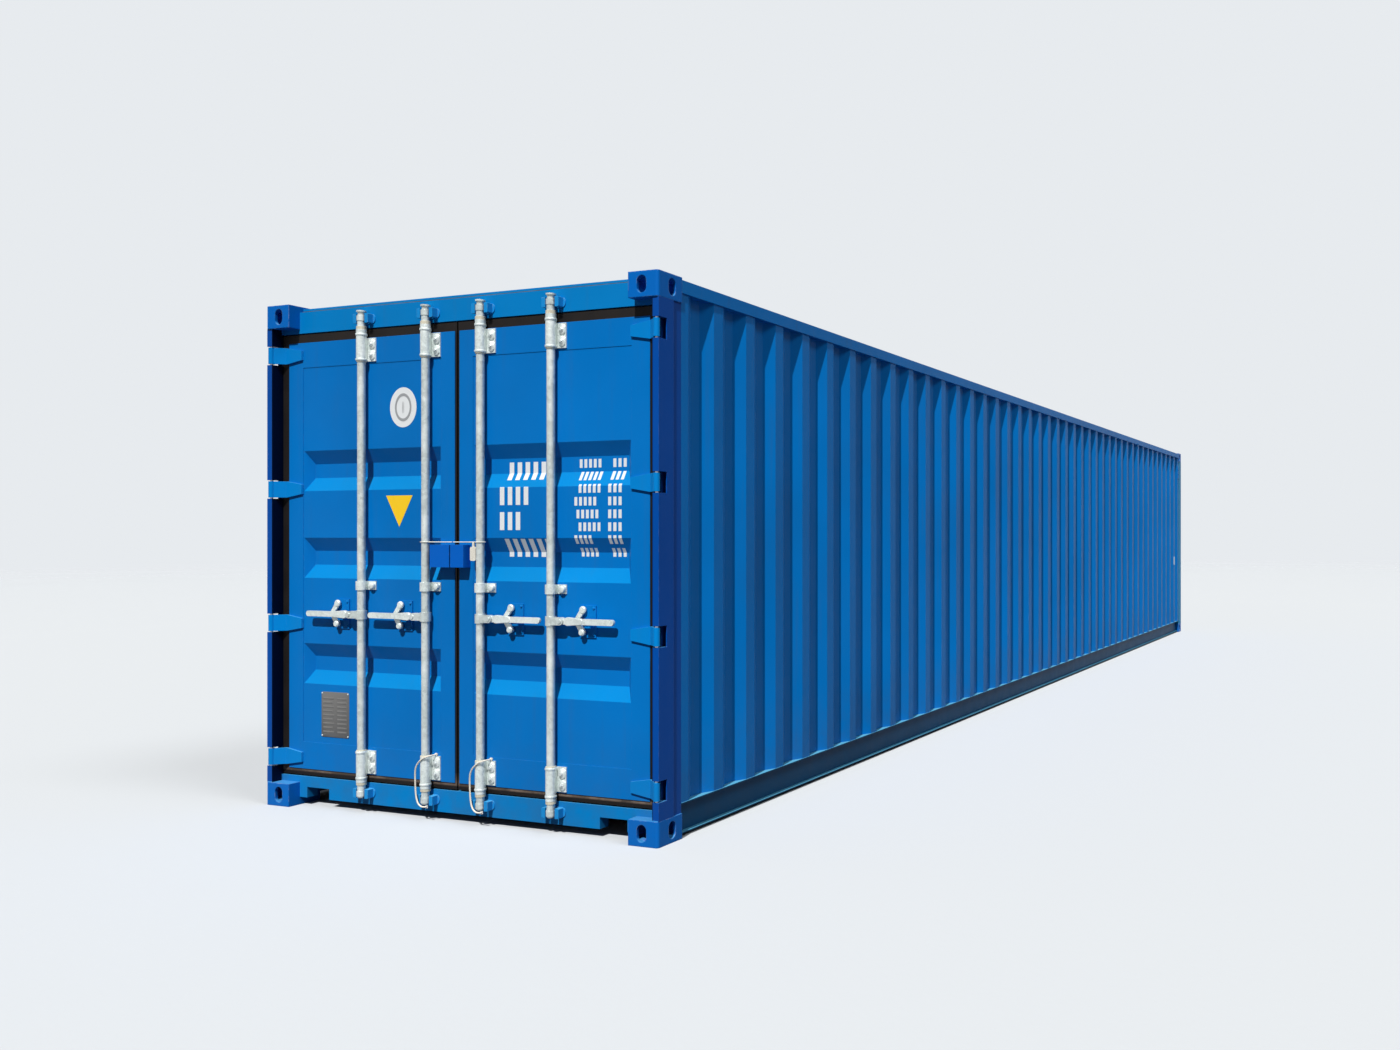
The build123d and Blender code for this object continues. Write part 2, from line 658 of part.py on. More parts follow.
def catch(x):
    c = x + handle_side(x) * CATCH_REACH
    back = CATCH_FRONT + CATCH_T
    body = across(c, CATCH_FRONT, back, CATCH_PIN_Z, CATCH_R)
    length = math.hypot(CATCH_LEAN, CATCH_RISE)
    lean = math.degrees(math.atan2(CATCH_RISE, CATCH_LEAN))
    middle = DOOR_Y + CATCH_FRONT + CATCH_T / 2
    for rise, turn in ((CATCH_RISE / 2, lean), (CATCH_RISE * 1.5, -lean)):
        link = Rot(0, turn, 0) * Box(length, CATCH_T, CATCH_W)
        body += Pos(c - CATCH_LEAN / 2, middle, CATCH_PIN_Z + rise) * link
    body += across(c - CATCH_LEAN, CATCH_FRONT, back, CATCH_PIN_Z + CATCH_RISE, KNEE_R)
    body += across(c, CATCH_FRONT - CATCH_T / 2, back, CATCH_PIN_Z + 2 * CATCH_RISE, CATCH_R)
    return body - across(c, CATCH_FRONT - CATCH_T, back + 1, CATCH_PIN_Z, PIN_R + PIN_GAP)


def cam(x, z):
    body = upright(x, BAR_DEPTH, z - NECK_H / 2, z + NECK_H / 2, CAM_NECK_R)
    disc = upright(x, BAR_DEPTH, z - CAM_T / 2, z + CAM_T / 2, CAM_R)
    x0, x1, near = x - BITE_W / 2, x + BITE_W / 2, BAR_DEPTH + BITE_DEPTH
    return body + (disc - door_block(x0, x1, near, BAR_DEPTH + 2 * CAM_R, z - CAM_T, z + CAM_T))


def hub(x):
    end = x + handle_side(x) * PIVOT_REACH
    x0, x1 = sorted((x, end))
    body = upright(x, BAR_DEPTH, HANDLE_Z - HUB_H / 2, HANDLE_Z + HUB_H / 2, HUB_R)
    front, back = HANDLE_FRONT - HUB_GAP - CHEEK_T, HANDLE_FRONT + HANDLE_T + HUB_GAP
    for d0 in (front, back):
        body += door_block(x0, x1, d0, d0 + CHEEK_T, HANDLE_Z - CHEEK_R, HANDLE_Z + CHEEK_R)
        body += across(end, d0, d0 + CHEEK_T, HANDLE_Z, CHEEK_R)
    head = front - PIVOT_HEAD
    body += across(end, head, back + CHEEK_T + PIVOT_HEAD, HANDLE_Z, PIVOT_R)
    return body + across(end, head, front, HANDLE_Z, PIVOT_R + PIVOT_HEAD)


def lock_bar(x):
    low, high = CAM_LOW + BAR_LAP, CAM_HIGH - BAR_LAP
    body = upright(x, BAR_DEPTH, low, high, BAR_R) + hub(x)
    body -= upright(x, BAR_DEPTH, low - 1, high + 1, BAR_BORE_R)
    cap = upright(x, BAR_DEPTH, CAM_HIGH + CAP_RISE, CAM_HIGH + CAP_RISE + CAP_T, CAP_R)
    cap += upright(x, BAR_DEPTH, CAM_HIGH, CAM_HIGH + CAP_RISE + CAP_T, CAM_NECK_R)
    return body + cam(x, CAM_LOW) + cam(x, CAM_HIGH) + cap


def handle(x):
    s = handle_side(x)
    d0, d1, half = HANDLE_FRONT, HANDLE_FRONT + HANDLE_T, HANDLE_H / 2
    start, end = x + s * PIVOT_REACH, x + s * (HANDLE_REACH - half)
    x0, x1 = sorted((start, end))
    body = door_block(x0, x1, d0, d1, HANDLE_Z - half, HANDLE_Z + half)
    body += across(start, d0, d1, HANDLE_Z, CHEEK_R)
    body += across(end, d0, d1, HANDLE_Z, half)
    return body - across(start, d0 - 1, d1 + 1, HANDLE_Z, PIVOT_R + PIN_GAP)


def lock_box(x0, x1, open_x):
    box = door_block(x0, x1, BOX_FRONT, LEAF_FRONT, BOX_LOW, BOX_TOP)
    cut0, cut1 = (x0 + BOX_T, x1 + 1) if open_x == x1 else (x0 - 1, x1 - BOX_T)
    return box - door_block(cut0, cut1, BOX_FRONT + BOX_T, LEAF_FRONT + 1, BOX_LOW - 1, BOX_TOP - BOX_T)


def seal_wire(side):
    """One half of the thin wire that ties the inner bars together over the lock box."""
    x = side * BAR_INNER
    ring = Pos(x, DOOR_Y + BAR_DEPTH, WIRE_Z) * Torus(RING_R, WIRE_R)
    start = x - side * RING_R
    end = side * (BOX_GAP + 0.5)
    x0, x1 = sorted((start, end))
    run = Pos((x0 + x1) / 2, DOOR_Y + BAR_DEPTH, WIRE_Z) * Rot(0, 90, 0) * Cylinder(WIRE_R, x1 - x0)
    return ring + run


def seal_tag():
    x, low = BAR_INNER - BAR_R - 5 - TAG_W / 2, WIRE_Z - 90
    place = Plane((x, DOOR_Y + BAR_DEPTH, low + TAG_H / 2), x_dir=(1, 0, 0), z_dir=(0, -1, 0))
    tag = extrude(place * RectangleRounded(TAG_W, TAG_H, 8), amount=TAG_T / 2, both=True)
    return tag + door_block(x - 5, x + 5, BAR_DEPTH - 4, BAR_DEPTH + 4, low + TAG_H - 1, WIRE_Z)


def rope_route(x):
    """Points from the leaf's face over the low sleeve, down beside the bar and round under its cam."""
    top, low, side = LOW_PLATE + PLATE_H + ROPE_LIFT, CAM_LOW, ROPE_SIDE
    front = BAR_DEPTH - SLEEVE_R - ROPE_R - ROPE_GAP
    places = [(side, LEAF_FRONT, top), (side, BAR_DEPTH, top), (33, 14, top - 2), (14, front, top - 9)]
    places += [(-20, front, top - 36), (-38, front + 2, top - 66), (-43, 10, low + 122)]
    places += [(-side, 12, low + 86), (-42, 12, low + 50), (-37, 11, low + 16)]
    places += [(-23, 9, low - 16), (4, 9, low - 31), (31, 10, low - 26)]
    return [Vector(x + dx, DOOR_Y + d, z) for dx, d, z in places]


def rope(x):
    points = rope_route(x)
    runs = [b - a for a, b in zip(points, points[1:])]
    radii = []
    for a, b in zip(runs, runs[1:]):
        half_turn = math.radians(a.get_angle(b)) / 2
        radii.append(0.45 * min(a.length, b.length) / math.tan(half_turn))
    path = FilletPolyline(*points, radius=radii)
    start = Plane(points[0], z_dir=runs[0])
    tube = sweep(start * Circle(ROPE_R), path=path)
    share = tube.volume / (math.pi * ROPE_R ** 2 * path.length)
    print("rope length", round(path.length), "volume share", round(share, 3))
    print("rope radii", [round(r) for r in radii])
    return tube


def leaf_parts(side, word):
    turn = flip if side < 0 else (lambda s: s)
    save(f"door_frame_{word}", turn(leaf_frame()))
    save(f"door_panel_{word}", turn(leaf_panel()))
    save(f"door_gasket_{word}", turn(leaf_gasket()))
    save(f"hinge_blades_{word}", *[turn(blade(z)) for z in hinge_heights()])
    save(f"bar_brackets_{word}", *brackets(side))
    bars = [x for x in bar_places() if x * side > 0]
    save(f"handle_retainers_{word}", *[retainer(x) for x in bars])
    if side < 0:
        save("lock_box_left", lock_box(-BOX_LEFT, -BOX_GAP, -BOX_GAP))
        save("seal_wire_left", seal_wire(side))
    else:
        save("lock_box_right", lock_box(BOX_GAP, BOX_RIGHT, BOX_GAP))
        save("seal_wire_right", seal_wire(side) + seal_tag())
    save(f"rope_{word}", rope(side * BAR_INNER))


def gear_parts():
    for i, x in enumerate(bar_places()):
        save(f"lock_bar_{i + 1}", lock_bar(x))
        save(f"handle_{i + 1}", handle(x))
        save(f"handle_catch_{i + 1}", catch(x))


os.makedirs("parts", exist_ok=True)
frame_parts()
leaf_parts(-1, "left")
leaf_parts(1, "right")
gear_parts()
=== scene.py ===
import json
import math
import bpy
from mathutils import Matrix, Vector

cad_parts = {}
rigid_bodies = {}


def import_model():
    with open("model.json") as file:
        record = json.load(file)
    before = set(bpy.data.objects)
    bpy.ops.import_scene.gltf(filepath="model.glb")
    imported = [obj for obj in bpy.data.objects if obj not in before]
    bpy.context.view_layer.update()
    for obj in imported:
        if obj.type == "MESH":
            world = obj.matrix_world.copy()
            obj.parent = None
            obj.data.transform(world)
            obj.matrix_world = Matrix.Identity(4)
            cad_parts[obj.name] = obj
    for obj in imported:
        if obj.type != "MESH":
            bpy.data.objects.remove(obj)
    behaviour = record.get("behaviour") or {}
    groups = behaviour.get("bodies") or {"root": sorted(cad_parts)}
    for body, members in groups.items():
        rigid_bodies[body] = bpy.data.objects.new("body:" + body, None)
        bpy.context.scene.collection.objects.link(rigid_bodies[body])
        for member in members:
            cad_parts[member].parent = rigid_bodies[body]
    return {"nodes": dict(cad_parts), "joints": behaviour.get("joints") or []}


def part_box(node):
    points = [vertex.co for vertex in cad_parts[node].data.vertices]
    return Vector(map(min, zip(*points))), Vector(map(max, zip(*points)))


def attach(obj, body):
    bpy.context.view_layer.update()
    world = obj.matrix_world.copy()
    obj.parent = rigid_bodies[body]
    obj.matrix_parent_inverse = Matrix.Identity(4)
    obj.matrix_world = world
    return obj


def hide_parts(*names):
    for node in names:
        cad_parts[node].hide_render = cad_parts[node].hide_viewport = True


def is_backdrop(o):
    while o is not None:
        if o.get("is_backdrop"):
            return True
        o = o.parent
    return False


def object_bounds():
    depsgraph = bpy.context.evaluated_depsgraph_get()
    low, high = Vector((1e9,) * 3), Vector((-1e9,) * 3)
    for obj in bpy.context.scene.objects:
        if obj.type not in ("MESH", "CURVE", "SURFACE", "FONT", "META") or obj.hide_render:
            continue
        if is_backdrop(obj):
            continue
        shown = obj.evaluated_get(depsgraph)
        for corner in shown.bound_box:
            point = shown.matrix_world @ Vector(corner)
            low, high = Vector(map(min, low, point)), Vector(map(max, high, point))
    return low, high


bl_info = {
    "name": "Shipping Container",
    "version": (1, 0, 0),
    "blender": (4, 5, 0),
    "location": "3D View > Sidebar > Container",
    "description": "Paint, zinc, markings, ropes, fasteners, welds and stage of a long freight container",
    "category": "Object",
}

import bmesh
import bpy
from bpy.props import FloatProperty, FloatVectorProperty, IntProperty, PointerProperty
from mathutils import Matrix, Vector
from mathutils.bvhtree import BVHTree

for leftover in list(bpy.data.objects):
    bpy.data.objects.remove(leftover)
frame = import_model()
CAD_LOW, CAD_HIGH = (Vector(corner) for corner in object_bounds())
JOINTS = {joint["name"]: joint for joint in frame["joints"]}
DOORS = ("left", "right")
FRONT = Vector((0, -1, 0))
UP = Vector((0, 0, 1))


def color_prop(name, color, description):
    return FloatVectorProperty(name=name, description=description, subtype="COLOR", size=3,
                               min=0.0, max=1.0, default=color)


def length_prop(name, size, description):
    return FloatProperty(name=name, description=description, subtype="DISTANCE", unit="LENGTH",
                         min=0.0001, default=size)


class ContainerFinish(bpy.types.PropertyGroup):
    """Colours of the container's own surfaces"""

    door: color_prop("Door", (0.0, 0.16, 0.51), "Paint of the door leaves")
    wall: color_prop("Walls", (0.0, 0.165, 0.52), "Paint of the corrugated walls, top rails and vents")
    post: color_prop("Posts", (0.0, 0.064, 0.33), "Paint of the door posts")
    blind_post: color_prop("Blind posts", (0.0, 0.22, 0.46), "Paint of the posts at the blind end")
    # Painted shade: the bottom rails get a darker paint than the walls, standing in for the shade on the
    # web under the top flange.
    rail: color_prop("Lower rails", (0.0, 0.066, 0.17), "Paint of the bottom side rails")
    # Painted light: the two pale colours below go on faces that look up, standing in for light from above
    # as well as sun fading.
    faded: color_prop("Faded paint", (0.12, 0.42, 0.6), "Sun bleached paint on faces that look up")
    bleached_and_uplit: color_prop("Bleached leaves", (0.0, 0.39, 0.66), "Paint of the leaves on slopes that look up")
    # Painted shade: a near black that stands in for the shade in the deep hinge recess beside the leaves.
    recess_shade: color_prop("Hinge recess", (0.0, 0.004, 0.022), "Grime in the recess beside the leaves")
    # Painted highlight: the keepers' paint is brighter than the door's and their edges wear pale strongly,
    # standing in for the highlights on their arcs.
    keeper: color_prop("Keepers", (0.01, 0.26, 0.65), "Paint of the cam keepers")
    header: color_prop("Header and sill", (0.0, 0.2, 0.54), "Paint of the headers and sills")
    casting: color_prop("Castings", (0.0, 0.13, 0.5), "Paint of the corner castings")
    hinge: color_prop("Hinges", (0.0, 0.205, 0.58), "Paint of the hinge blades")
    box: color_prop("Lock box", (0.0, 0.115, 0.54), "Paint of the lock box")
    roof: color_prop("Roof", (0.0, 0.15, 0.5), "Paint of the roof")
    dirt: color_prop("Dirt", (0.06, 0.062, 0.06), "Road dirt low on the paint")
    road_dust: color_prop("Road dust", (0.15, 0.12, 0.09), "Dust on the undercoat")
    zinc: color_prop("Zinc", (0.56, 0.61, 0.59), "Hot dip zinc of the locking gear")
    rubber: color_prop("Rubber", (0.005, 0.004, 0.004), "Door gasket")
    rubber_dust: color_prop("Rubber dust", (0.3, 0.22, 0.17), "Brown dust on the gasket")
    floor: color_prop("Plywood", (0.27, 0.13, 0.065), "Oiled plywood deck")
    undercoat: color_prop("Undercoat", (0.02, 0.022, 0.024), "Bitumen under the deck")
    rope: color_prop("Rope", (0.64, 0.61, 0.53), "Tie ropes")


class ContainerMarks(bpy.types.PropertyGroup):
    """Painted marks and plates on the doors"""

    white: color_prop("White", (0.74, 0.76, 0.77), "Marking blocks and the oval")
    yellow: color_prop("Yellow", (0.9, 0.56, 0.002), "Plain triangle")
    ring: color_prop("Ring", (0.3, 0.31, 0.32), "Ring in the oval")
    plate: color_prop("Plate", (0.12, 0.118, 0.115), "Blank data plate")
    lift: length_prop("Lift", 0.0006, "How far a mark stands off the paint")
    oval_width: length_prop("Oval width", 0.174, "Width of the white oval")
    oval_height: length_prop("Oval height", 0.2, "Height of the white oval")
    triangle: length_prop("Triangle", 0.174, "Width of the yellow triangle")


class ContainerGear(bpy.types.PropertyGroup):
    """Sizes of the small fittings"""

    bolt: length_prop("Bolt", 0.0085, "Half the width of a bracket bolt's head")
    rivet: length_prop("Rivet", 0.0045, "Radius of a rivet's head")
    weld: length_prop("Weld", 0.0028, "Radius of a weld bead")
    ripple: length_prop("Ripple", 0.006, "Length of one ripple of a weld bead")
    rope: length_prop("Rope", 0.008, "Thickness of the tie ropes")
    rope_lay: length_prop("Rope lay", 0.03, "Length of one turn of the rope's strands")
    strands: IntProperty(name="Strands", description="Strands in a rope", min=2, max=4, default=3)


class ContainerStage(bpy.types.PropertyGroup):
    """Lights, floor, backdrop and lens"""

    key: FloatProperty(name="Key", description="Strength of the light on the doors", default=4.6)
    side: FloatProperty(name="Side", description="Strength of the soft light on the long side", default=0.9)
    sky: FloatProperty(name="Sky", description="Strength of the even light from all round", default=0.1)
    floor: color_prop("Floor", (0.56, 0.58, 0.6), "Pale studio floor, as it is seen")
    floor_bounce: color_prop("Floor bounce", (0.065, 0.078, 0.1), "Floor colour that lights the object")
    backdrop: color_prop("Backdrop", (0.8, 0.83, 0.86), "Pale studio backdrop")
    lens: FloatProperty(name="Lens", description="Focal length", unit="CAMERA", default=28.96)


# Node helpers


def feed(socket, value):
    """Links the value in where it is a socket, and sets it where it is plain."""
    if isinstance(value, bpy.types.NodeSocket):
        socket.id_data.links.new(value, socket)
    else:
        socket.default_value = value


def add(tree, kind, props=None, **inputs):
    """Adds a shader node; inputs are values or sockets, by name or by place as _0, _1."""
    made = tree.nodes.new("ShaderNode" + kind)
    for key, value in (props or {}).items():
        setattr(made, key, value)
    for key, value in inputs.items():
        feed(made.inputs[int(key[1:]) if key[0] == "_" else key.replace("_", " ")], value)
    return made


def calc(operation, *values, clamp=False):
    """Adds a sum in the tree of the first value that is a socket."""
    tree = next(value.id_data for value in values if isinstance(value, bpy.types.NodeSocket))
    inputs = {f"_{i}": value for i, value in enumerate(values)}
    return add(tree, "Math", {"operation": operation, "use_clamp": clamp}, **inputs).outputs[0]


def plus(first, second, clamp=False):
    return calc("ADD", first, second, clamp=clamp)


def times(first, second, clamp=False):
    return calc("MULTIPLY", first, second, clamp=clamp)


def spread(value, low, high, out_low=0.0, out_high=1.0):
    """Maps low to high onto the out range and holds the value past both ends."""
    return add(value.id_data, "MapRange", Value=value, From_Min=low, From_Max=high, To_Min=out_low,
               To_Max=out_high).outputs[0]


def blend_color(share, first, second):
    return add(share.id_data, "Mix", {"data_type": "RGBA"}, _0=share, _6=first, _7=second).outputs[2]


def scaled(color, factor):
    return add(factor.id_data, "VectorMath", {"operation": "SCALE"}, _0=color, Scale=factor).outputs[0]


def noise(place, scale, detail=3.0, rough=0.5):
    return add(place.id_data, "TexNoise", Vector=place, Scale=scale, Detail=detail,
               Roughness=rough).outputs[0]


def stretch(place, factors):
    return add(place.id_data, "VectorMath", {"operation": "MULTIPLY"}, _0=place, _1=factors).outputs[0]


def rest_place(tree):
    return add(tree, "TexCoord").outputs["Object"]


def plain_normal(tree):
    return add(tree, "NewGeometry").outputs["Normal"]


def axis_of(vector, axis):
    return add(vector.id_data, "SeparateXYZ", _0=vector).outputs[axis]


def rgba(color):
    return (*color, 1.0)


# Shared effects

SURFACE = [("Color", "Color"), ("Roughness", "Float"), ("Height", "Float")]


def new_group(name, inputs, outputs):
    """An empty shader group with its sockets; each is a name, a kind and, for an input, a default."""
    tree = bpy.data.node_groups.new(name, "ShaderNodeTree")
    for label, kind, value in inputs:
        socket = tree.interface.new_socket(label, in_out="INPUT", socket_type="NodeSocket" + kind)
        socket.default_value = value
    for label, kind in outputs:
        tree.interface.new_socket(label, in_out="OUTPUT", socket_type="NodeSocket" + kind)
    start, end = tree.nodes.new("NodeGroupInput"), tree.nodes.new("NodeGroupOutput")
    return tree, start.outputs, end.inputs


def use_group(tree, name, **values):
    return add(tree, "Group", {"node_tree": bpy.data.node_groups[name]}, **values).outputs


def paint_film_group():
    """Sprayed paint: uneven tone, rain streaks, dirt low down, orange peel, and upper faces painted paler
    for light from above and sun fading.
    """
    inputs = [("Paint", "Color", (0, 0.2, 0.5, 1)), ("Dirt Color", "Color", (0.1, 0.08, 0.06, 1)),
              ("Dirt", "Float", 0.3), ("Streaks", "Float", 0.3), ("Gloss", "Float", 0.34),
              ("Faded Color", "Color", (0.05, 0.42, 0.56, 1)), ("Fade", "Float", 0.4)]
    tree, given, out = new_group("paint_film", inputs, SURFACE)
    place = rest_place(tree)
    tone = spread(noise(place, 0.9, 4.0, 0.55), 0.3, 0.7, 0.9, 1.09)
    toned = scaled(given["Paint"], tone)
    rain = noise(stretch(place, (7.0, 7.0, 0.35)), 3.2, 5.0, 0.6)
    streak = times(spread(rain, 0.56, 0.78), given["Streaks"], clamp=True)
    streaked = blend_color(times(streak, 0.35), toned, given["Dirt Color"])
    low = spread(axis_of(place, "Z"), 0.55, 0.0)
    patch = spread(noise(place, 5.5, 6.0, 0.65), 0.35, 0.75)
    dirt = times(times(low, patch), given["Dirt"], clamp=True)
    dust = times(spread(noise(place, 2.2, 3.0), 0.35, 0.8), 0.05)
    soiled = blend_color(plus(dirt, dust, clamp=True), streaked, given["Dirt Color"])
    # Painted light: faces that look up blend towards the pale colour, for light from above and sun fading.
    face = axis_of(plain_normal(tree), "Z")
    uplit_share = times(spread(face, 0.3, 0.6), given["Fade"], clamp=True)
    feed(out["Color"], blend_color(uplit_share, soiled, given["Faded Color"]))
    uneven = times(noise(place, 14.0, 4.0), 0.16)
    feed(out["Roughness"], plus(plus(given["Gloss"], uneven), times(dirt, 0.3)))
    peel = times(noise(place, 420.0, 2.0), 0.25)
    feed(out["Height"], plus(peel, noise(place, 3.0, 2.0)))


def rounded_edge_group():
    """Edges that look rounded, and a mask of paint worn thin along them."""
    tree, given, out = new_group("rounded_edge", [("Radius", "Float", 0.002), ("Wear", "Float", 0.5)],
                                 [("Normal", "Vector"), ("Mask", "Float")])
    bevel = add(tree, "Bevel", {"samples": 4}, Radius=given["Radius"]).outputs[0]
    same = add(tree, "VectorMath", {"operation": "DOT_PRODUCT"}, _0=bevel, _1=plain_normal(tree))
    edge = spread(same.outputs["Value"], 0.985, 0.9)
    broken = spread(noise(rest_place(tree), 38.0, 4.0, 0.7), 0.46, 0.62)
    feed(out["Normal"], bevel)
    feed(out["Mask"], times(times(edge, broken), given["Wear"], clamp=True))


def zinc_spangle_group():
    """Crystals of hot dip zinc, with dull white patches."""
    inputs = [("Zinc", "Color", (0.7, 0.7, 0.7, 1)), ("Size", "Float", 90.0), ("Chalk", "Float", 0.4)]
    tree, given, out = new_group("zinc_spangle", inputs, SURFACE)
    place = rest_place(tree)
    drift = add(tree, "TexNoise", Vector=place, Scale=60.0).outputs[1]
    warped = add(tree, "VectorMath", {"operation": "MULTIPLY_ADD"}, _0=drift, _1=(0.012, 0.012, 0.012),
                 _2=place).outputs[0]
    cells = add(tree, "TexVoronoi", Vector=warped, Scale=given["Size"])
    crystal = axis_of(cells.outputs["Color"], "X")
    tone = scaled(given["Zinc"], spread(crystal, 0.0, 1.0, 0.86, 1.08))
    chalky = spread(noise(place, 9.0, 6.0, 0.65), 0.48, 0.68)
    chalk = times(chalky, given["Chalk"])
    feed(out["Color"], blend_color(chalk, tone, (0.8, 0.82, 0.8, 1)))
    bright = spread(crystal, 0.0, 1.0, 0.3, 0.44)
    feed(out["Roughness"], plus(bright, times(chalk, 0.35)))
    grit = times(noise(place, 240.0, 3.0), 0.5)
    feed(out["Height"], plus(grit, times(crystal, 0.3)))


# Finishes

PAINT_SHINE, RUBBER_SHINE, FLOOR_SHINE = 0.07, 0.15, 0.05
WORN_SHARE, WORN_LIGHT = 0.5, 0.24
# Width over which the painted recess shade blends in
PAINTED_SHADE_EDGE = 0.004
LIP_FOOT, LIP_RISE, LIP_FULL, LIP_END = 0.172, 0.179, 0.19, 0.24
DUST_LOW, DUST_HIGH = 2.38, 2.4
# Joints between sheets and rows of screws in the deck, each as axis, shift and pitch
SHEET_JOINTS = (("Y", 6.1, 2.44), ("X", 5.85, 1.17))
SCREW_ROWS = (("Y", 5.766, 0.4), ("X", 5.85, 0.195))
SCREW_AT = (0.02, 0.0975)


def new_finish(name):
    finish = bpy.data.materials.new(name)
    finish.use_nodes = True
    return finish.node_tree, finish.node_tree.nodes["Principled BSDF"]


def dress(shader, color, rough, height, depth, normal=None):
    """Feeds colour, roughness and relief to the shader."""
    feed(shader.inputs["Base Color"], color)
    feed(shader.inputs["Roughness"], rough)
    bump = add(shader.id_data, "Bump", Height=height, Distance=depth, Strength=1.0)
    if normal is not None:
        feed(bump.inputs["Normal"], normal)
    feed(shader.inputs["Normal"], bump.outputs[0])


def painted_finish(name, color, dirt, streaks, radius, wear, gloss=0.36, fade=0.35, painted_shade_from=None,
                   pale=None):
    """Paint with worn edges; where a shade distance is given, faces inboard of it get the dark recess
    colour as painted shade.
    """
    tree, shader = new_finish(name)
    colors = bpy.context.scene.container_finish
    # The pale colour on faces that look up is painted light from above together with sun fading.
    film = use_group(tree, "paint_film", Paint=rgba(color), Dirt_Color=rgba(colors.dirt), Dirt=dirt,
                     Streaks=streaks, Gloss=gloss, Faded_Color=rgba(pale or colors.faded), Fade=fade)
    edge = use_group(tree, "rounded_edge", Radius=radius, Wear=wear)
    thin = tuple(WORN_SHARE * c + WORN_LIGHT for c in color)
    top = blend_color(edge["Mask"], film["Color"], rgba(thin))
    # Painted shade: post faces inboard of the distance take the dark recess colour in place of the recess's
    # shade.
    if painted_shade_from:
        outboard = calc("ABSOLUTE", axis_of(rest_place(tree), "X"))
        inboard = spread(outboard, painted_shade_from, painted_shade_from - PAINTED_SHADE_EDGE)
        top = blend_color(inboard, top, rgba(colors.recess_shade))
    shader.inputs["Specular IOR Level"].default_value = PAINT_SHINE
    dress(shader, top, film["Roughness"], film["Height"], 0.0006, edge["Normal"])


def zinc_finish(name, color, size, metal, chalk, radius):
    """Hot dip zinc with spangle of the given size and rounded edges."""
    tree, shader = new_finish(name)
    zinc = use_group(tree, "zinc_spangle", Zinc=rgba(color), Size=size, Chalk=chalk)
    edge = use_group(tree, "rounded_edge", Radius=radius, Wear=0.0)
    shader.inputs["Metallic"].default_value = metal
    dress(shader, zinc["Color"], zinc["Roughness"], zinc["Height"], 0.0003, edge["Normal"])


def rubber_finish(colors):
    """Black rubber; brown dust lies on the lip over the sill and a little of it below the header."""
    tree, shader = new_finish("gasket_rubber")
    place = rest_place(tree)
    height = axis_of(place, "Z")
    dusty = spread(noise(place, 7.0, 5.0, 0.6), 0.42, 0.72, 0.25, 1.0)
    above = spread(height, LIP_END, LIP_FULL, 0.0, 0.8)
    lip = times(above, spread(height, LIP_FOOT, LIP_RISE))
    settled = plus(lip, spread(height, DUST_LOW, DUST_HIGH, 0.01, 0.04))
    color = blend_color(times(dusty, settled), rgba(colors.rubber), rgba(colors.rubber_dust))
    shader.inputs["Specular IOR Level"].default_value = RUBBER_SHINE
    dress(shader, color, spread(dusty, 0.0, 1.0, 0.55, 0.85), noise(place, 160.0, 3.0), 0.0005)


def plywood_finish(colors):
    """Plywood sheets with grain along the deck, open joints and rows of screws."""
    tree, shader = new_finish("plywood_deck")
    place = rest_place(tree)
    axes = add(tree, "SeparateXYZ", _0=place).outputs

    def repeated(axis, shift, pitch):
        return calc("FLOORED_MODULO", plus(axes[axis], shift), pitch)

    grain = noise(stretch(place, (38.0, 1.6, 38.0)), 1.0, 8.0, 0.62)
    axis, shift, pitch = SHEET_JOINTS[0]
    sheet = calc("FLOOR", calc("DIVIDE", plus(axes[axis], shift), pitch))
    tint = add(tree, "TexWhiteNoise", {"noise_dimensions": "1D"}, W=sheet).outputs["Value"]
    tone = times(spread(grain, 0.3, 0.7, 0.72, 1.18), spread(tint, 0, 1, 0.9, 1.1))
    gaps = []
    for axis, shift, pitch in SHEET_JOINTS:
        part = repeated(axis, shift, pitch)
        near = calc("MINIMUM", part, calc("SUBTRACT", pitch, part))
        gaps.append(spread(near, 0.0022, 0.0012))
    along, over = (calc("POWER", calc("SUBTRACT", repeated(*row), at), 2.0)
                   for row, at in zip(SCREW_ROWS, SCREW_AT))
    screw = spread(calc("POWER", plus(along, over), 0.5), 0.0062, 0.0052)
    dark = calc("MAXIMUM", calc("MAXIMUM", *gaps), times(screw, 0.7))
    color = blend_color(dark, scaled(tuple(colors.floor), tone), (0.03, 0.022, 0.016, 1))
    dress(shader, color, spread(grain, 0.2, 0.8, 0.42, 0.7), calc("SUBTRACT", grain, dark), 0.0008)


def undercoat_finish(colors):
    """Black bitumen with road dust on it."""
    tree, shader = new_finish("bitumen_undercoat")
    place = rest_place(tree)
    dusty = spread(noise(place, 4.0, 6.0, 0.65), 0.45, 0.8)
    color = blend_color(times(dusty, 0.5), rgba(colors.undercoat), rgba(colors.road_dust))
    dress(shader, color, spread(dusty, 0.0, 1.0, 0.45, 0.8), noise(place, 70.0, 4.0, 0.6), 0.0012)


def fibre_finish(name, color, scale, depth):
    """Twisted fibres, also used for the skin of the seal wire and the nylon of the bushes."""
    tree, shader = new_finish(name)
    place = rest_place(tree)
    fibre = noise(place, scale, 6.0, 0.7)
    soil = times(spread(noise(place, 25.0, 4.0), 0.45, 0.75), 0.22)
    tone = scaled(tuple(color), spread(fibre, 0.3, 0.7, 0.78, 1.12))
    color = blend_color(soil, tone, (0.22, 0.16, 0.11, 1))
    dress(shader, color, spread(fibre, 0.2, 0.8, 0.6, 0.85), fibre, depth)


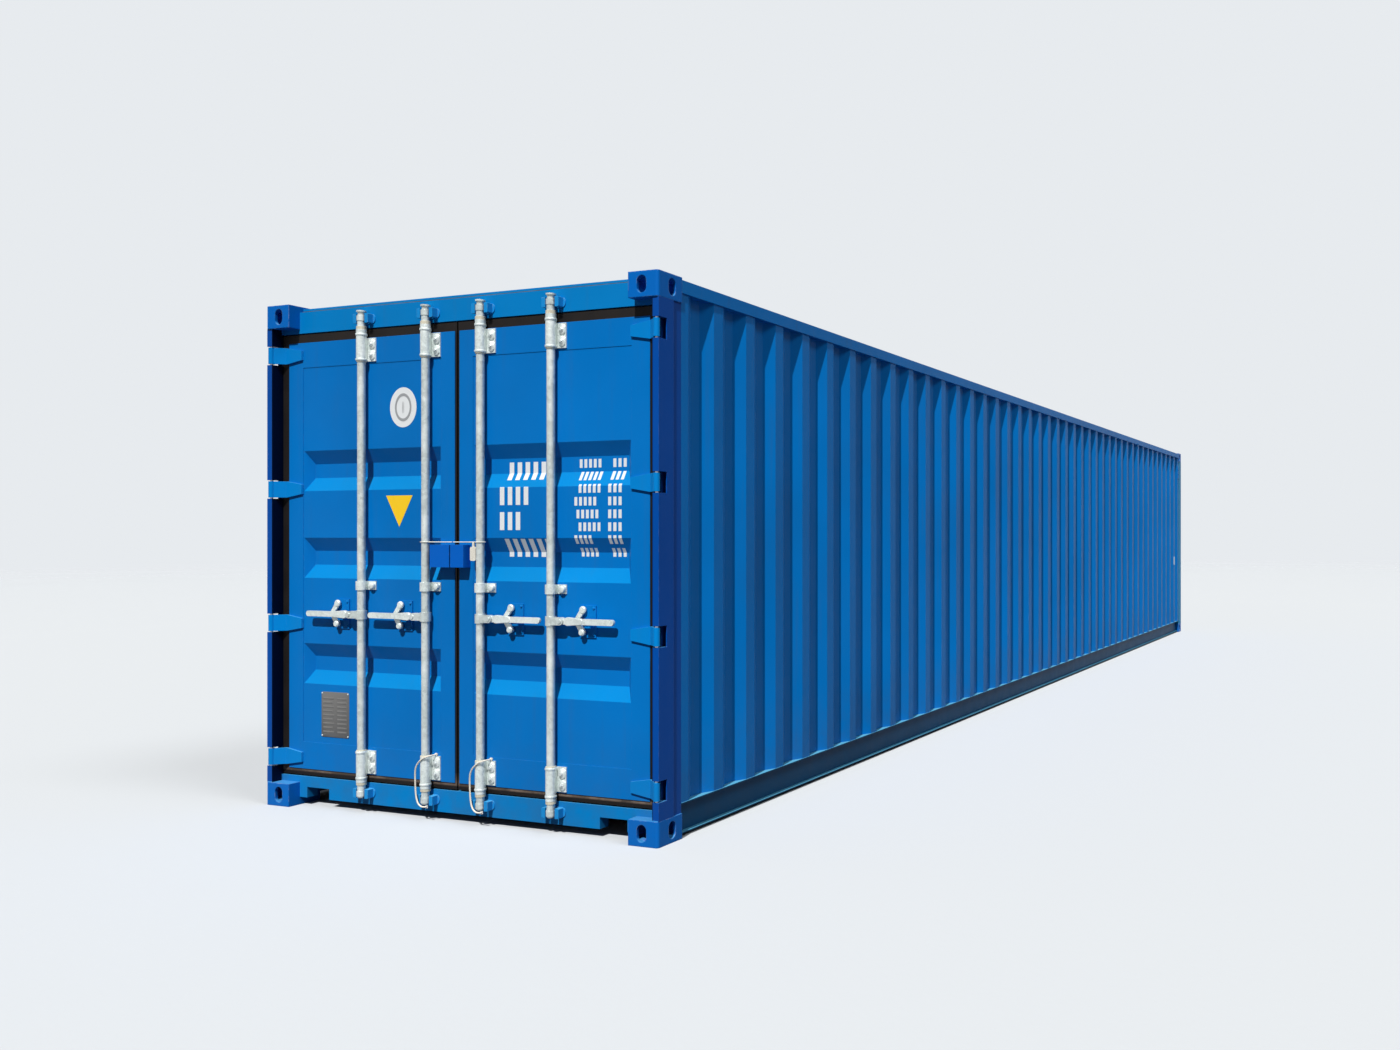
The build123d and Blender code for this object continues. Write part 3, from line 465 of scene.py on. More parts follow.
def mark_finish(name, color, worn):
    """Stencil paint or film with a few thin spots."""
    tree, shader = new_finish(name)
    place = rest_place(tree)
    thin = spread(noise(place, 26.0, 6.0, 0.7), 0.6, 0.74, 0.0, worn)
    under = tuple(0.72 * c for c in color)
    rough = spread(noise(place, 12.0, 3.0), 0.3, 0.7, 0.38, 0.52)
    dress(shader, blend_color(thin, rgba(color), rgba(under)), rough, noise(place, 300.0, 2.0), 0.0002)


# The posts' painted recess shade starts this far inboard of the side.
RECESS_EDGE = 0.031
GEAR_LIGHTER, FIELD_LIGHTER = 1.2, 1.25
PIN_STEEL, BOLT_ZINC = (0.34, 0.35, 0.36), (0.62, 0.66, 0.65)
SEAL_SKIN, BUSH_NYLON = (0.8, 0.77, 0.68), (0.66, 0.61, 0.47)
# Starts of the names of the nodes that take a finish; the first that fits counts
FINISH_STARTS = {
    "casting_paint": "corner_castings", "post_paint": "door_posts", "blind_post_paint": "blind_posts",
    "header_paint": ("door_header", "door_sill", "blind_header", "blind_sill"),
    "wall_paint": ("top_rails", "side_vents", "side_wall", "blind_wall"), "rail_paint": "bottom_rails",
    "roof_paint": "roof", "bitumen_undercoat": ("cross_members", "gooseneck_tunnel"),
    "plywood_deck": "floor", "keeper_paint": "cam_keepers", "pin_steel": "hinge_pins",
    "door_paint": ("door_frame", "door_panel", "handle_retainers"), "gasket_rubber": "door_gasket",
    "hinge_paint": "hinge_blades", "box_paint": "lock_box", "seal_skin": "seal_wire",
    "rope_fibre": "rope", "bar_zinc": "lock_bar", "gear_zinc": ("bar_brackets", "handle"),
}
# Each paint's dirt, streaks, edge radius and wear
PAINTS = {
    "door": (0.22, 0.22, 0.0012, 0.35), "wall": (0.4, 0.45, 0.001, 0.25),
    "post": (0.14, 0.12, 0.002, 0.5), "blind_post": (0.2, 0.2, 0.002, 0.5),
    # Painted shade and light: the rails' dark paint stands in for the shade on their webs, and their strong
    # fade for light on the flanges' tops.
    # The keepers' bright paint and strong wear are painted highlights on their arcs.
    "keeper": (0.1, 0.1, 0.003, 0.9), "rail": (0.2, 0.2, 0.001, 0.3),
    "header": (0.4, 0.25, 0.0015, 0.5), "casting": (0.15, 0.1, 0.0065, 0.9),
    "hinge": (0.2, 0.15, 0.0015, 0.45), "box": (0.1, 0.1, 0.0015, 0.4),
    "roof": (0.1, 0.3, 0.001, 0.2),
}


def finish_for(node):
    for finish, starts in FINISH_STARTS.items():
        if node.startswith(starts):
            return finish
    raise ValueError(f"no finish for {node}")


def make_finishes():
    colors = bpy.context.scene.container_finish
    marks = bpy.context.scene.container_marks
    more = {"door": {"pale": colors.bleached_and_uplit}, "wall": {"gloss": 0.34},
            "post": {"painted_shade_from": CAD_HIGH.x - RECESS_EDGE}, "rail": {"gloss": 0.38, "fade": 0.75},
            "roof": {"gloss": 0.4, "fade": 0.0}}
    for key, values in PAINTS.items():
        painted_finish(f"{key}_paint", getattr(colors, key), *values, **more.get(key, {}))
    zinc_finish("bar_zinc", colors.zinc, 70.0, 0.45, 0.55, 0.001)
    light_zinc = tuple(min(1.0, GEAR_LIGHTER * c) for c in colors.zinc)
    zinc_finish("gear_zinc", light_zinc, 110.0, 0.35, 0.65, 0.0012)
    zinc_finish("pin_steel", PIN_STEEL, 150.0, 0.8, 0.2, 0.0008)
    zinc_finish("bolt_zinc", BOLT_ZINC, 260.0, 0.6, 0.3, 0.0005)
    rubber_finish(colors)
    plywood_finish(colors)
    undercoat_finish(colors)
    fibre_finish("rope_fibre", colors.rope, 900.0, 0.0006)
    fibre_finish("seal_skin", SEAL_SKIN, 300.0, 0.0002)
    fibre_finish("bush_nylon", BUSH_NYLON, 120.0, 0.0002)
    mark_finish("mark_white", marks.white, 0.5)
    mark_finish("mark_yellow", marks.yellow, 0.4)
    mark_finish("mark_ring", marks.ring, 0.2)
    mark_finish("plate_metal", marks.plate, 0.6)
    mark_finish("plate_field", tuple(FIELD_LIGHTER * c for c in marks.plate), 0.4)


# Mesh helpers

SHARP_ANGLE = math.radians(38)
LINK_LIP = 0.0015


def new_object(name, data):
    made = bpy.data.objects.new(name, data)
    bpy.context.scene.collection.objects.link(made)
    return made


def piece(name, bm, finish, body, smooth=True):
    """Turns the bmesh into an object that rides on a body and takes its finish."""
    mesh = bpy.data.meshes.new(name)
    bm.normal_update()
    bm.to_mesh(mesh)
    bm.free()
    made = new_object(name, mesh)
    mesh.materials.append(bpy.data.materials[finish])
    if smooth:
        mesh.shade_smooth()
        mesh.set_sharp_from_angle(angle=SHARP_ANGLE)
    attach(made, body)
    return made


def facing(place, direction):
    """A matrix that puts Z along the direction at the place."""
    return Matrix.Translation(place) @ Vector(direction).to_track_quat("Z", "Y").to_matrix().to_4x4()


def turns_of(count):
    return [2 * math.pi * i / count for i in range(count)]


def bridge(bm, rings):
    """Faces between each ring and the next, all of as many vertices."""
    for low, high in zip(rings, rings[1:]):
        count = len(low)
        for k in range(count):
            bm.faces.new((low[k], low[(k + 1) % count], high[(k + 1) % count], high[k]))


def lathe(bm, profile, place, direction, sides=20):
    """Turns (radius, height) points round the direction; radius 0 at an end closes it."""
    matrix = facing(place, direction)
    rings = []
    for radius, rise in profile:
        turns = turns_of(sides) if radius else [0.0]
        spots = [Vector((radius * math.cos(t), radius * math.sin(t), rise)) for t in turns]
        rings.append([bm.verts.new(matrix @ spot) for spot in spots])
    for low, high in zip(rings, rings[1:]):
        for i in range(sides):
            corners = ((low, i), (low, i + 1), (high, i + 1), (high, i))
            unique = list(dict.fromkeys(ring[k % len(ring)] for ring, k in corners))
            if len(unique) > 2:
                bm.faces.new(unique)


def bolt(bm, place, direction, size):
    """A washer with a hexagon head on it."""
    washer = [(0, 0), (1.5, 0), (1.5, 0.22), (1.35, 0.32), (0, 0.32)]
    head = [(1, 0.3), (1, 0.85), (0.84, 1.02), (0, 1.02)]
    for profile, sides in ((washer, 20), (head, 6)):
        lathe(bm, [(r * size, rise * size) for r, rise in profile], place, direction, sides)


def rivet(bm, place, direction, size):
    dome = [(size * math.cos(t), 0.6 * size * math.sin(t)) for t in (0, 0.4, 0.8, 1.2)]
    lathe(bm, dome + [(0, 0.6 * size)], place, direction, 12)


def across(points):
    """Each point with two directions across the line there, which don't twist on the way."""
    side = None
    for i, point in enumerate(points):
        ahead = (points[min(i + 1, len(points) - 1)] - points[max(i - 1, 0)]).normalized()
        if side is None:
            side = ahead.orthogonal().normalized()
        side = (side - ahead * side.dot(ahead)).normalized()
        yield point, side, ahead.cross(side)


def tube(bm, points, radii, sides=8):
    """A closed tube along the points, each with its own radius."""
    rings = []
    for (point, side, other), radius in zip(across(points), radii):
        rings.append([bm.verts.new(point + radius * (math.cos(t) * side + math.sin(t) * other))
                      for t in turns_of(sides)])
    bridge(bm, rings)
    bm.faces.new(reversed(rings[0]))
    bm.faces.new(rings[-1])


def bead(bm, start, end):
    """A rippled weld bead between two points."""
    gear = bpy.context.scene.container_gear
    start, end = Vector(start), Vector(end)
    count = max(4, int(2 * (end - start).length / gear.ripple))
    spots = [start.lerp(end, i / count) for i in range(count + 1)]
    tube(bm, spots, [gear.weld * (0.8 if i % 2 else 1.0) for i in range(count + 1)], 6)


def cut_corners(a0, a1, b0, b1, cut):
    """The outline of an oblong with its corners cut."""
    return [(a0 + cut, b0), (a1 - cut, b0), (a1, b0 + cut), (a1, b1 - cut), (a1 - cut, b1),
            (a0 + cut, b1), (a0, b1 - cut), (a0, b0 + cut)]


def pad(bm, x0, x1, y0, y1, z0, z1, cut):
    """A raised pad whose front corners and front edge are cut back."""
    step = min(cut, y1 - y0) * 0.5
    rings = []
    for grow, y in ((0, y1), (0, y0 + step), (step, y0)):
        outline = cut_corners(x0 + grow, x1 - grow, z0 + grow, z1 - grow, cut)
        rings.append([bm.verts.new((x, y, z)) for x, z in outline])
    bridge(bm, rings)
    bm.faces.new(rings[-1])


def side_pad(bm, x0, x1, y0, y1, z0, z1, cut):
    """A thin pad on the long side, with its corners cut."""
    outline = cut_corners(y0, y1, z0, z1, cut)
    rings = [[bm.verts.new((x, y, z)) for y, z in outline] for x in (x0, x1)]
    bridge(bm, rings)
    bm.faces.new(rings[-1])


def joint_place(name):
    return Vector(JOINTS[name]["pos_m"])


def behind(inward):
    """The Y of a place so far behind the part's front."""
    return CAD_LOW.y + inward


def link(bm, start, end, wide, narrow, y0, y1):
    """An upright plate with round ends of two radii between two places, from y0 in front to y1."""
    way = Vector((end.x - start.x, 0, end.z - start.z)).normalized()
    side = Vector((-way.z, 0, way.x))
    rings = []
    for y, cut in ((y1, 0.0), (y0 + LINK_LIP, 0.0), (y0, LINK_LIP)):
        ring = []
        for centre, radius, first in ((end, narrow, 90), (start, wide, 270)):
            for i in range(9):
                t = math.radians(first - 22.5 * i)
                spot = centre + (radius - cut) * (math.cos(t) * way + math.sin(t) * side)
                ring.append(bm.verts.new((spot.x, y, spot.z)))
        rings.append(ring)
    bridge(bm, rings)
    bm.faces.new(rings[-1])
    bm.faces.new(reversed(rings[0]))
    bmesh.ops.recalc_face_normals(bm, faces=bm.faces)


def bars_of(word):
    return (1, 2) if word == "left" else (3, 4)


def outward(word):
    """The sign of X towards a leaf's hinges."""
    return -1 if word == "left" else 1


def leaf_piece(name, word, bm, finish):
    """A piece that rides on one leaf and takes the leaf's side into its name."""
    return piece(f"{name}_{word}", bm, finish, f"{word}_door")


# Operators


class ContainerOperator:
    bl_options = {"REGISTER", "UNDO"}


class CONTAINER_OT_finishes(ContainerOperator, bpy.types.Operator):
    """Makes every finish and puts the right one on each CAD node"""

    bl_idname = "container.finishes"
    bl_label = "Finishes"

    def execute(self, context):
        paint_film_group()
        rounded_edge_group()
        zinc_spangle_group()
        make_finishes()
        for node, made in frame["nodes"].items():
            for held in made.material_slots:
                held.material = bpy.data.materials[finish_for(node)]
        return {"FINISHED"}


# The rope's line: X from the bar's axis, depth behind the part's front, height
ROPE_ROUTE = ((0.044, 0.06, 0.322), (0.044, 0.033, 0.322), (0.033, 0.014, 0.32), (0.014, 0.0046, 0.313),
              (-0.02, 0.0046, 0.286), (-0.038, 0.0066, 0.256), (-0.043, 0.01, 0.222),
              (-0.044, 0.012, 0.186), (-0.042, 0.012, 0.15), (-0.037, 0.011, 0.116),
              (-0.023, 0.009, 0.084), (0.004, 0.009, 0.069), (0.031, 0.01, 0.074))
STRAND_SHARE = 0.26
KNOT_STRAND, KNOT_POINTS = 0.0024, 90
TAIL_KNOT, HEAD_KNOT, KNOT_OUT = 0.0062, 0.007, 0.0035


def centre_line(points):
    """Points along the smooth line that the route's points guide."""
    data = bpy.data.curves.new("rope_route", "CURVE")
    data.dimensions = "3D"
    data.resolution_u = 10
    spline = data.splines.new("NURBS")
    spline.points.add(len(points) - 1)
    for held, point in zip(spline.points, points):
        held.co = (*point, 1.0)
    spline.order_u = 3
    spline.use_endpoint_u = True
    guide = bpy.data.objects.new("rope_route", data)
    mesh = bpy.data.meshes.new_from_object(guide)
    line = [v.co.copy() for v in mesh.vertices]
    bpy.data.objects.remove(guide)
    bpy.data.meshes.remove(mesh)
    return line


def strands(bm, line, gear):
    """Strands that wind round the line, fine enough for their turns to be round."""
    dense = []
    for a, b in zip(line, line[1:]):
        count = max(1, math.ceil((b - a).length / (gear.rope_lay / 10)))
        dense += [a.lerp(b, i / count) for i in range(count)]
    dense.append(line[-1])
    thick = gear.rope * STRAND_SHARE
    for strand in range(gear.strands):
        gone, path, last = 0.0, [], dense[0]
        for point, side, other in across(dense):
            gone += (point - last).length
            last = point
            turn = 2 * math.pi * (gone / gear.rope_lay + strand / gear.strands)
            swing = math.cos(turn) * side + math.sin(turn) * other
            path.append(point + swing * (gear.rope / 2 - thick))
        tube(bm, path, [thick] * len(path))


def knot(bm, place, size, direction):
    """A pulled overhand knot, as one closed strand over and under itself."""
    matrix = facing(place, direction)
    ring = []
    for i in range(KNOT_POINTS + 1):
        t = 2 * math.pi * i / KNOT_POINTS
        x, y = math.sin(t) + 2 * math.sin(2 * t), math.cos(t) - 2 * math.cos(2 * t)
        ring.append(matrix @ Vector((x * size / 3, y * size / 3, -math.sin(3 * t) * KNOT_STRAND * 0.9)))
    tube(bm, ring, [KNOT_STRAND] * len(ring))


class CONTAINER_OT_ropes(ContainerOperator, bpy.types.Operator):
    """Lays the stranded tie ropes from the leaves round the two inner bars' lower ends"""

    bl_idname = "container.ropes"
    bl_label = "Tie ropes"

    def execute(self, context):
        gear = context.scene.container_gear
        for word, bar in (("left", 2), ("right", 3)):
            axis = joint_place(f"bar_{bar}_turn")
            route = [Vector((axis.x + x, behind(y), z)) for x, y, z in ROPE_ROUTE]
            line = centre_line(route)
            bm = bmesh.new()
            strands(bm, line, gear)
            rope = leaf_piece("tie_rope", word, bm, "rope_fibre")
            for end, spot, way, size in (("tail", line[-1], line[-1] - line[-2], TAIL_KNOT),
                                         ("head", line[0] + FRONT * KNOT_OUT, FRONT, HEAD_KNOT)):
                bm = bmesh.new()
                knot(bm, spot, size, way)
                leaf_piece(f"rope_{end}", word, bm, "rope_fibre")
            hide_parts(f"rope_{word}")
            length = sum((b - a).length for a, b in zip(line, line[1:]))
        return {"FINISHED"}


FOLD_GAP = 0.001
# Marking blocks: left end, top and count of each tall row; height, width and gap of a block
TALL_ROWS = ((0.29, 1.752, 6), (0.264, 1.632, 4), (0.264, 1.512, 3), (0.29, 1.384, 6))
TALL_BLOCK = (0.086, 0.027, 0.021)
SMALL_BLOCK, LAST_BLOCK = (0.04, 0.016, 0.011), (0.04, 0.017, 0.012)
SMALL_ROWS, SMALL_TOP, SMALL_PITCH = 8, 1.758, 0.0595
SMALL_X, SMALL_SHIFT, LAST_X = 0.706, 0.012, 0.898
# Places of the other marks on the left leaf
OVAL_SIDES, OVAL_X, OVAL_Z = 48, -0.348, 2.04
RING_WIDE, RING_HIGH, RING_HOLE = 0.31, 0.35, 0.8
STROKE_OUT, STROKE_WIDE, STROKE_HIGH = 0.004, 0.0016, 0.03
TRIANGLE_X, TRIANGLE_Z, TRIANGLE_RISE = -0.374, 1.522, 0.45
PLATE_X, PLATE_Z, PLATE_THICK, PLATE_CUT = (-0.901, -0.711), (0.364, 0.596), 0.003, 0.008
FIELD_ROWS, FIELD_FOOT, FIELD_PITCH = 9, 0.386, 0.0215
FIELD_HIGH, FIELD_DEPTH, FIELD_CUT = 0.01, 0.0038, 0.001
RIVET_X, RIVET_Z = (-0.895, -0.717), (0.371, 0.589)
# The tag on an outer flat of the right wall
TAG_Y, TAG_HALF, TAG_Z, TAG_CUT = 5.66, 0.029, (0.984, 1.098), 0.008
TAG_BACK, TAG_FACE, FLAT_DEPTH = 0.0062, 0.004, 0.0065
FLAT_START, FLAT_STEP, FLAT_TRIES = 5.5, 0.01, 36
FLAT_Z, FLAT_REACH = 1.04, (-0.03, 0.0, 0.03)


def surface_of(node):
    return BVHTree.FromObject(frame["nodes"][node], bpy.context.evaluated_depsgraph_get())


def fold_rows(node):
    """Heights at which the pressed panel bends, so that a mark can follow it."""
    rows = sorted({round(v.co.z, 4) for v in frame["nodes"][node].data.vertices})
    kept = []
    for row in rows:
        if not kept or row - kept[-1] > FOLD_GAP:
            kept.append(row)
    return kept


def painted_rows(bm, blocks, node, lift):
    """Flat blocks laid over the pressed panel, bent wherever it bends."""
    tree = surface_of(node)
    folds = fold_rows(node)
    for x0, x1, z0, z1 in blocks:
        rows = [z0] + [z for z in folds if z0 + FOLD_GAP < z < z1 - FOLD_GAP] + [z1]
        strips = []
        for z in rows:
            hits = [(x, tree.ray_cast(Vector((x, behind(-0.1), z)), -FRONT)[0].y) for x in (x0, x1)]
            strips.append([bm.verts.new((x, y - lift, z)) for x, y in hits])
        for low, high in zip(strips, strips[1:]):
            bm.faces.new((low[0], low[1], high[1], high[0]))


def block_row(x, top, count, block):
    """A row of plain upright blocks where real containers state their weights."""
    high, wide, gap = block
    starts = [x + i * (wide + gap) for i in range(count)]
    return [(start, start + wide, top - high, top) for start in starts]


def weight_blocks():
    blocks = []
    for x, top, count in TALL_ROWS:
        blocks += block_row(x, top, count, TALL_BLOCK)
    for i in range(SMALL_ROWS):
        top = SMALL_TOP - i * SMALL_PITCH
        blocks += block_row(SMALL_X + SMALL_SHIFT * (i % 3), top, 5 if i < 6 else 4, SMALL_BLOCK)
        blocks += block_row(LAST_X, top, 3, LAST_BLOCK)
    return blocks


def oval(bm, place, wide, high, hole=0.0):
    """A flat oval that faces the front, with a hole of that share of its size."""
    rings = []
    for share in (1.0, hole) if hole else (1.0,):
        spots = [Vector((share * wide * math.cos(t), 0, share * high * math.sin(t)))
                 for t in turns_of(OVAL_SIDES)]
        rings.append([bm.verts.new(place + spot) for spot in spots])
    if hole:
        bridge(bm, rings)
    else:
        bm.faces.new(rings[0])


def paint_oval(face, marks):
    """The white oval with its plain ring and two strokes."""
    at = Vector((OVAL_X, face - marks.lift, OVAL_Z))
    bm = bmesh.new()
    oval(bm, at, marks.oval_width / 2, marks.oval_height / 2)
    piece("oval_mark", bm, "mark_white", "left_door", smooth=False)
    at = at + FRONT * marks.lift
    bm = bmesh.new()
    oval(bm, at, marks.oval_width * RING_WIDE, marks.oval_height * RING_HIGH, RING_HOLE)
    for side in (-1, 1):
        oval(bm, at + Vector((side * STROKE_OUT, 0, 0)), STROKE_WIDE, STROKE_HIGH)
    piece("oval_ring", bm, "mark_ring", "left_door", smooth=False)


def paint_triangle(face, marks):
    half, rise = marks.triangle / 2, marks.triangle * TRIANGLE_RISE
    at = Vector((TRIANGLE_X, face - marks.lift, TRIANGLE_Z))
    bm = bmesh.new()
    corners = ((-half, 0, rise), (half, 0, rise), (0, 0, -rise))
    bm.faces.new([bm.verts.new(at + Vector(corner)) for corner in corners])
    piece("triangle_mark", bm, "mark_yellow", "left_door", smooth=False)


def fix_plate(face, gear):
    """The blank data plate with its fields and rivets."""
    front = face - PLATE_THICK
    bm = bmesh.new()
    pad(bm, *PLATE_X, front, face, *PLATE_Z, PLATE_CUT)
    piece("data_plate", bm, "plate_metal", "left_door")
    bm = bmesh.new()
    for i in range(FIELD_ROWS):
        z = FIELD_FOOT + i * FIELD_PITCH
        for x0, x1 in ((-0.888, -0.812 - 0.01 * (i % 2)), (-0.79, -0.726)):
            pad(bm, x0, x1, face - FIELD_DEPTH, front, z, z + FIELD_HIGH, FIELD_CUT)
    piece("plate_fields", bm, "plate_field", "left_door")
    bm = bmesh.new()
    for x in RIVET_X:
        for z in RIVET_Z:
            rivet(bm, (x, front, z), FRONT, gear.rivet)
    piece("plate_rivets", bm, "bolt_zinc", "left_door")


def tag_flat():
    """The middle of the outer flat of the right wall that lies nearest to the tag's place."""
    wall = surface_of("side_wall_right")

    def outside(y):
        return wall.ray_cast(Vector((2, y, FLAT_Z)), Vector((-1, 0, 0)))[0].x

    flats = [y for y in (FLAT_START + FLAT_STEP * i for i in range(FLAT_TRIES))
             if all(outside(y + dy) > CAD_HIGH.x - FLAT_DEPTH for dy in FLAT_REACH)]
    if not flats:
        raise RuntimeError("no flat of the wall for the tag")
    return min(flats, key=lambda y: abs(y - TAG_Y))


class CONTAINER_OT_marks(ContainerOperator, bpy.types.Operator):
    """Paints the plain marking blocks, oval and triangle, and puts on the blank plate and a side tag"""

    bl_idname = "container.marks"
    bl_label = "Marks and plate"

    def execute(self, context):
        marks, gear = context.scene.container_marks, context.scene.container_gear
        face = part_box("door_panel_right")[0][1]
        bm = bmesh.new()
        painted_rows(bm, weight_blocks(), "door_panel_right", marks.lift)
        piece("weight_blocks", bm, "mark_white", "right_door", smooth=False)
        paint_oval(face, marks)
        paint_triangle(face, marks)
        fix_plate(face, gear)
        at = tag_flat()
        bm = bmesh.new()
        side_pad(bm, CAD_HIGH.x - TAG_BACK, CAD_HIGH.x - TAG_FACE, at - TAG_HALF, at + TAG_HALF, *TAG_Z,
                 TAG_CUT)
        piece("side_tag", bm, "mark_white", "frame")
        return {"FINISHED"}


# Bar brackets: rise of a wing plate, reach of a sleeve past it, height of the middle knobs, pads
PLATE_RISE, SLEEVE_OUT, MID_HEIGHT = 0.118, 0.04, 1.148
WING_IN, WING_OUT, WING_BOLT = 0.03, 0.066, 0.048
PAD_FACE, PAD_BACK, PAD_HALF, PAD_CUT = 0.013, 0.006, 0.025, 0.011
BOLT_SHARES = (0.27, 0.73)
COLLAR_DEPTH, KNOB_OUT, LEAF_SUNK = 0.033, 0.05, 0.004
COLLAR = [(0.0238, 0), (0.0262, 0), (0.0268, 0.001), (0.0268, 0.009), (0.0262, 0.01),
          (0.0238, 0.01), (0.0238, 0)]
KNOB = [(0.019, 0), (0.019, 0.008), (0.016, 0.014), (0.009, 0.017), (0, 0.0175)]
# Retainers' bolts: X from the catch's pin and rise over that height; share of a bracket bolt's size
RETAINER_BOLTS, RETAINER_Z = ((0.052, 0.112), (-0.016, 0.112), (0.052, -0.012)), 0.95
SMALL_BOLT = 0.6


def collar_heights(bar, low, high):
    """Feet of the sleeves' collars; the ropes lie where the inner bars' low sleeves end."""
    top = high - SLEEVE_OUT - PLATE_RISE
    heights = [low + 0.016, top + 0.002, high - 0.03]
    if bar in (1, 4):
        heights.append(low + SLEEVE_OUT + PLATE_RISE - 0.012)
    return heights


class CONTAINER_OT_fasteners(ContainerOperator, bpy.types.Operator):
    """Adds the brackets' pads, bolts, collars and knobs, and the retainers' bolts"""

    bl_idname = "container.fasteners"
    bl_label = "Bolts and pads"

    def execute(self, context):
        gear = context.scene.container_gear
        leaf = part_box("door_frame_left")[0][1]
        for word in DOORS:
            low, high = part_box(f"bar_brackets_{word}")
            pads, bolts, painted = bmesh.new(), bmesh.new(), bmesh.new()
            for bar in bars_of(word):
                x = joint_place(f"bar_{bar}_turn").x
                for foot in (low[2] + SLEEVE_OUT, high[2] - SLEEVE_OUT - PLATE_RISE):
                    for share in BOLT_SHARES:
                        z = foot + share * PLATE_RISE
                        pad(pads, x + WING_IN, x + WING_OUT, leaf - PAD_FACE, leaf - PAD_BACK,
                            z - PAD_HALF, z + PAD_HALF, PAD_CUT)
                        bolt(bolts, (x + WING_BOLT, leaf - PAD_FACE, z), FRONT, gear.bolt)
                for z in collar_heights(bar, low[2], high[2]):
                    lathe(pads, COLLAR, (x, behind(COLLAR_DEPTH), z), UP, 32)
                lathe(pads, KNOB, (x + KNOB_OUT, leaf - LEAF_SUNK, MID_HEIGHT), FRONT, 24)
                pin = joint_place(f"catch_{bar}_swing").x
                for dx, dz in RETAINER_BOLTS:
                    spot = (pin + dx, leaf - LEAF_SUNK, RETAINER_Z + dz)
                    bolt(painted, spot, FRONT, gear.bolt * SMALL_BOLT)
            leaf_piece("bracket_pads", word, pads, "gear_zinc")
            leaf_piece("bracket_bolts", word, bolts, "bolt_zinc")
            leaf_piece("retainer_bolts", word, painted, "door_paint")
        return {"FINISHED"}


# Forgings: reach from the pivot or pin, radii, and depth of front and back behind the part's front
ROOT_REACH, ROOT_RADII = (0.04, 0.112), (0.02, 0.0145)
ROOT_FRONT, ROOT_BACK, CATCH_FRONT, CATCH_BACK = 0.0185, 0.0335, 0.04, 0.0498
CATCH_KNEE, CATCH_TOP = Vector((-0.038, 0, 0.052)), Vector((0, 0, 0.104))
PIN_RADIUS, KNEE_RADIUS, TOP_RADIUS = 0.0145, 0.0125, 0.013
HEAD_DEPTH, PIN_DEPTH = 0.05, 0.0395
CATCH_HEAD = [(0, 0), (0.0165, 0), (0.018, 0.003), (0.018, 0.009), (0.014, 0.0132), (0, 0.0138)]
PIN_KNOB = [(0.01, 0), (0.016, 0.001), (0.0165, 0.005), (0.012, 0.0105), (0, 0.012)]


class CONTAINER_OT_forgings(ContainerOperator, bpy.types.Operator):
    """Adds the rounded forgings of the handles' roots, the catches and the knobs at their pins"""

    bl_idname = "container.forgings"
    bl_label = "Forgings"

    def execute(self, context):
        for word in DOORS:
            knobs = bmesh.new()
            for bar in bars_of(word):
                pivot, pin = joint_place(f"handle_{bar}_lift"), joint_place(f"catch_{bar}_swing")
                bm = bmesh.new()
                start, end = (pivot + Vector((outward(word) * x, 0, 0)) for x in ROOT_REACH)
                link(bm, start, end, *ROOT_RADII, behind(ROOT_FRONT), behind(ROOT_BACK))
                piece(f"handle_forging_{bar}", bm, "gear_zinc", f"handle_{bar}")
                bm = bmesh.new()
                knee, top = pin + CATCH_KNEE, pin + CATCH_TOP
                for foot, radius in ((pin, PIN_RADIUS), (top, TOP_RADIUS)):
                    link(bm, foot, knee, radius, KNEE_RADIUS, behind(CATCH_FRONT), behind(CATCH_BACK))
                lathe(bm, CATCH_HEAD, (top.x, behind(HEAD_DEPTH), top.z), FRONT, 24)
                piece(f"catch_forging_{bar}", bm, "gear_zinc", f"catch_{bar}")
                lathe(knobs, PIN_KNOB, (pin.x, behind(PIN_DEPTH), pin.z), FRONT, 24)
            leaf_piece("catch_knobs", word, knobs, "gear_zinc")
        return {"FINISHED"}


BUSH_BORE, BUSH_RIM, BUSH_LIP = 0.0193, 0.0232, 0.001
FOOT_BUSH, HEAD_BUSH, INNER_BUSH = 0.014, 0.016, 0.005


class CONTAINER_OT_bushes(ContainerOperator, bpy.types.Operator):
    """Adds the nylon bushes that show at the ends of the bars' sleeves"""

    bl_idname = "container.bushes"
    bl_label = "Bushes"

    def execute(self, context):
        for word in DOORS:
            low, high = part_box(f"bar_brackets_{word}")
            ends = ((low[2], -1, FOOT_BUSH), (high[2], 1, HEAD_BUSH),
                    (low[2] + SLEEVE_OUT + PLATE_RISE, 1, INNER_BUSH),
                    (high[2] - SLEEVE_OUT - PLATE_RISE, -1, INNER_BUSH))
            bm = bmesh.new()
            for bar in bars_of(word):
                axis = joint_place(f"bar_{bar}_turn")
                for z, way, rise in ends:
                    profile = [(BUSH_BORE, 0), (BUSH_RIM, 0), (BUSH_RIM, rise - BUSH_LIP),
                               (BUSH_RIM - BUSH_LIP, rise), (BUSH_BORE, rise), (BUSH_BORE, 0)]
                    lathe(bm, profile, (axis.x, axis.y, z), UP * way, 32)
            leaf_piece("bar_bushes", word, bm, "bush_nylon")
        return {"FINISHED"}


# Welds, the dark sealant line on the header that also stands in for the shadow under the roof's edge, and
# the beads at the hinge blades
WELD_SUNK, POST_INSET, CASTING_GAP = 0.4, 0.004, 0.002
SHADOW_SEAL_DEPTH, SHADOW_SEAL_Z, SHADOW_SEAL_RADIUS = 0.079, 2.5635, 0.0045
BLADES, BLADE_IN, BLADE_END, BLADE_HALF = 4, 0.1, 0.042, 0.024


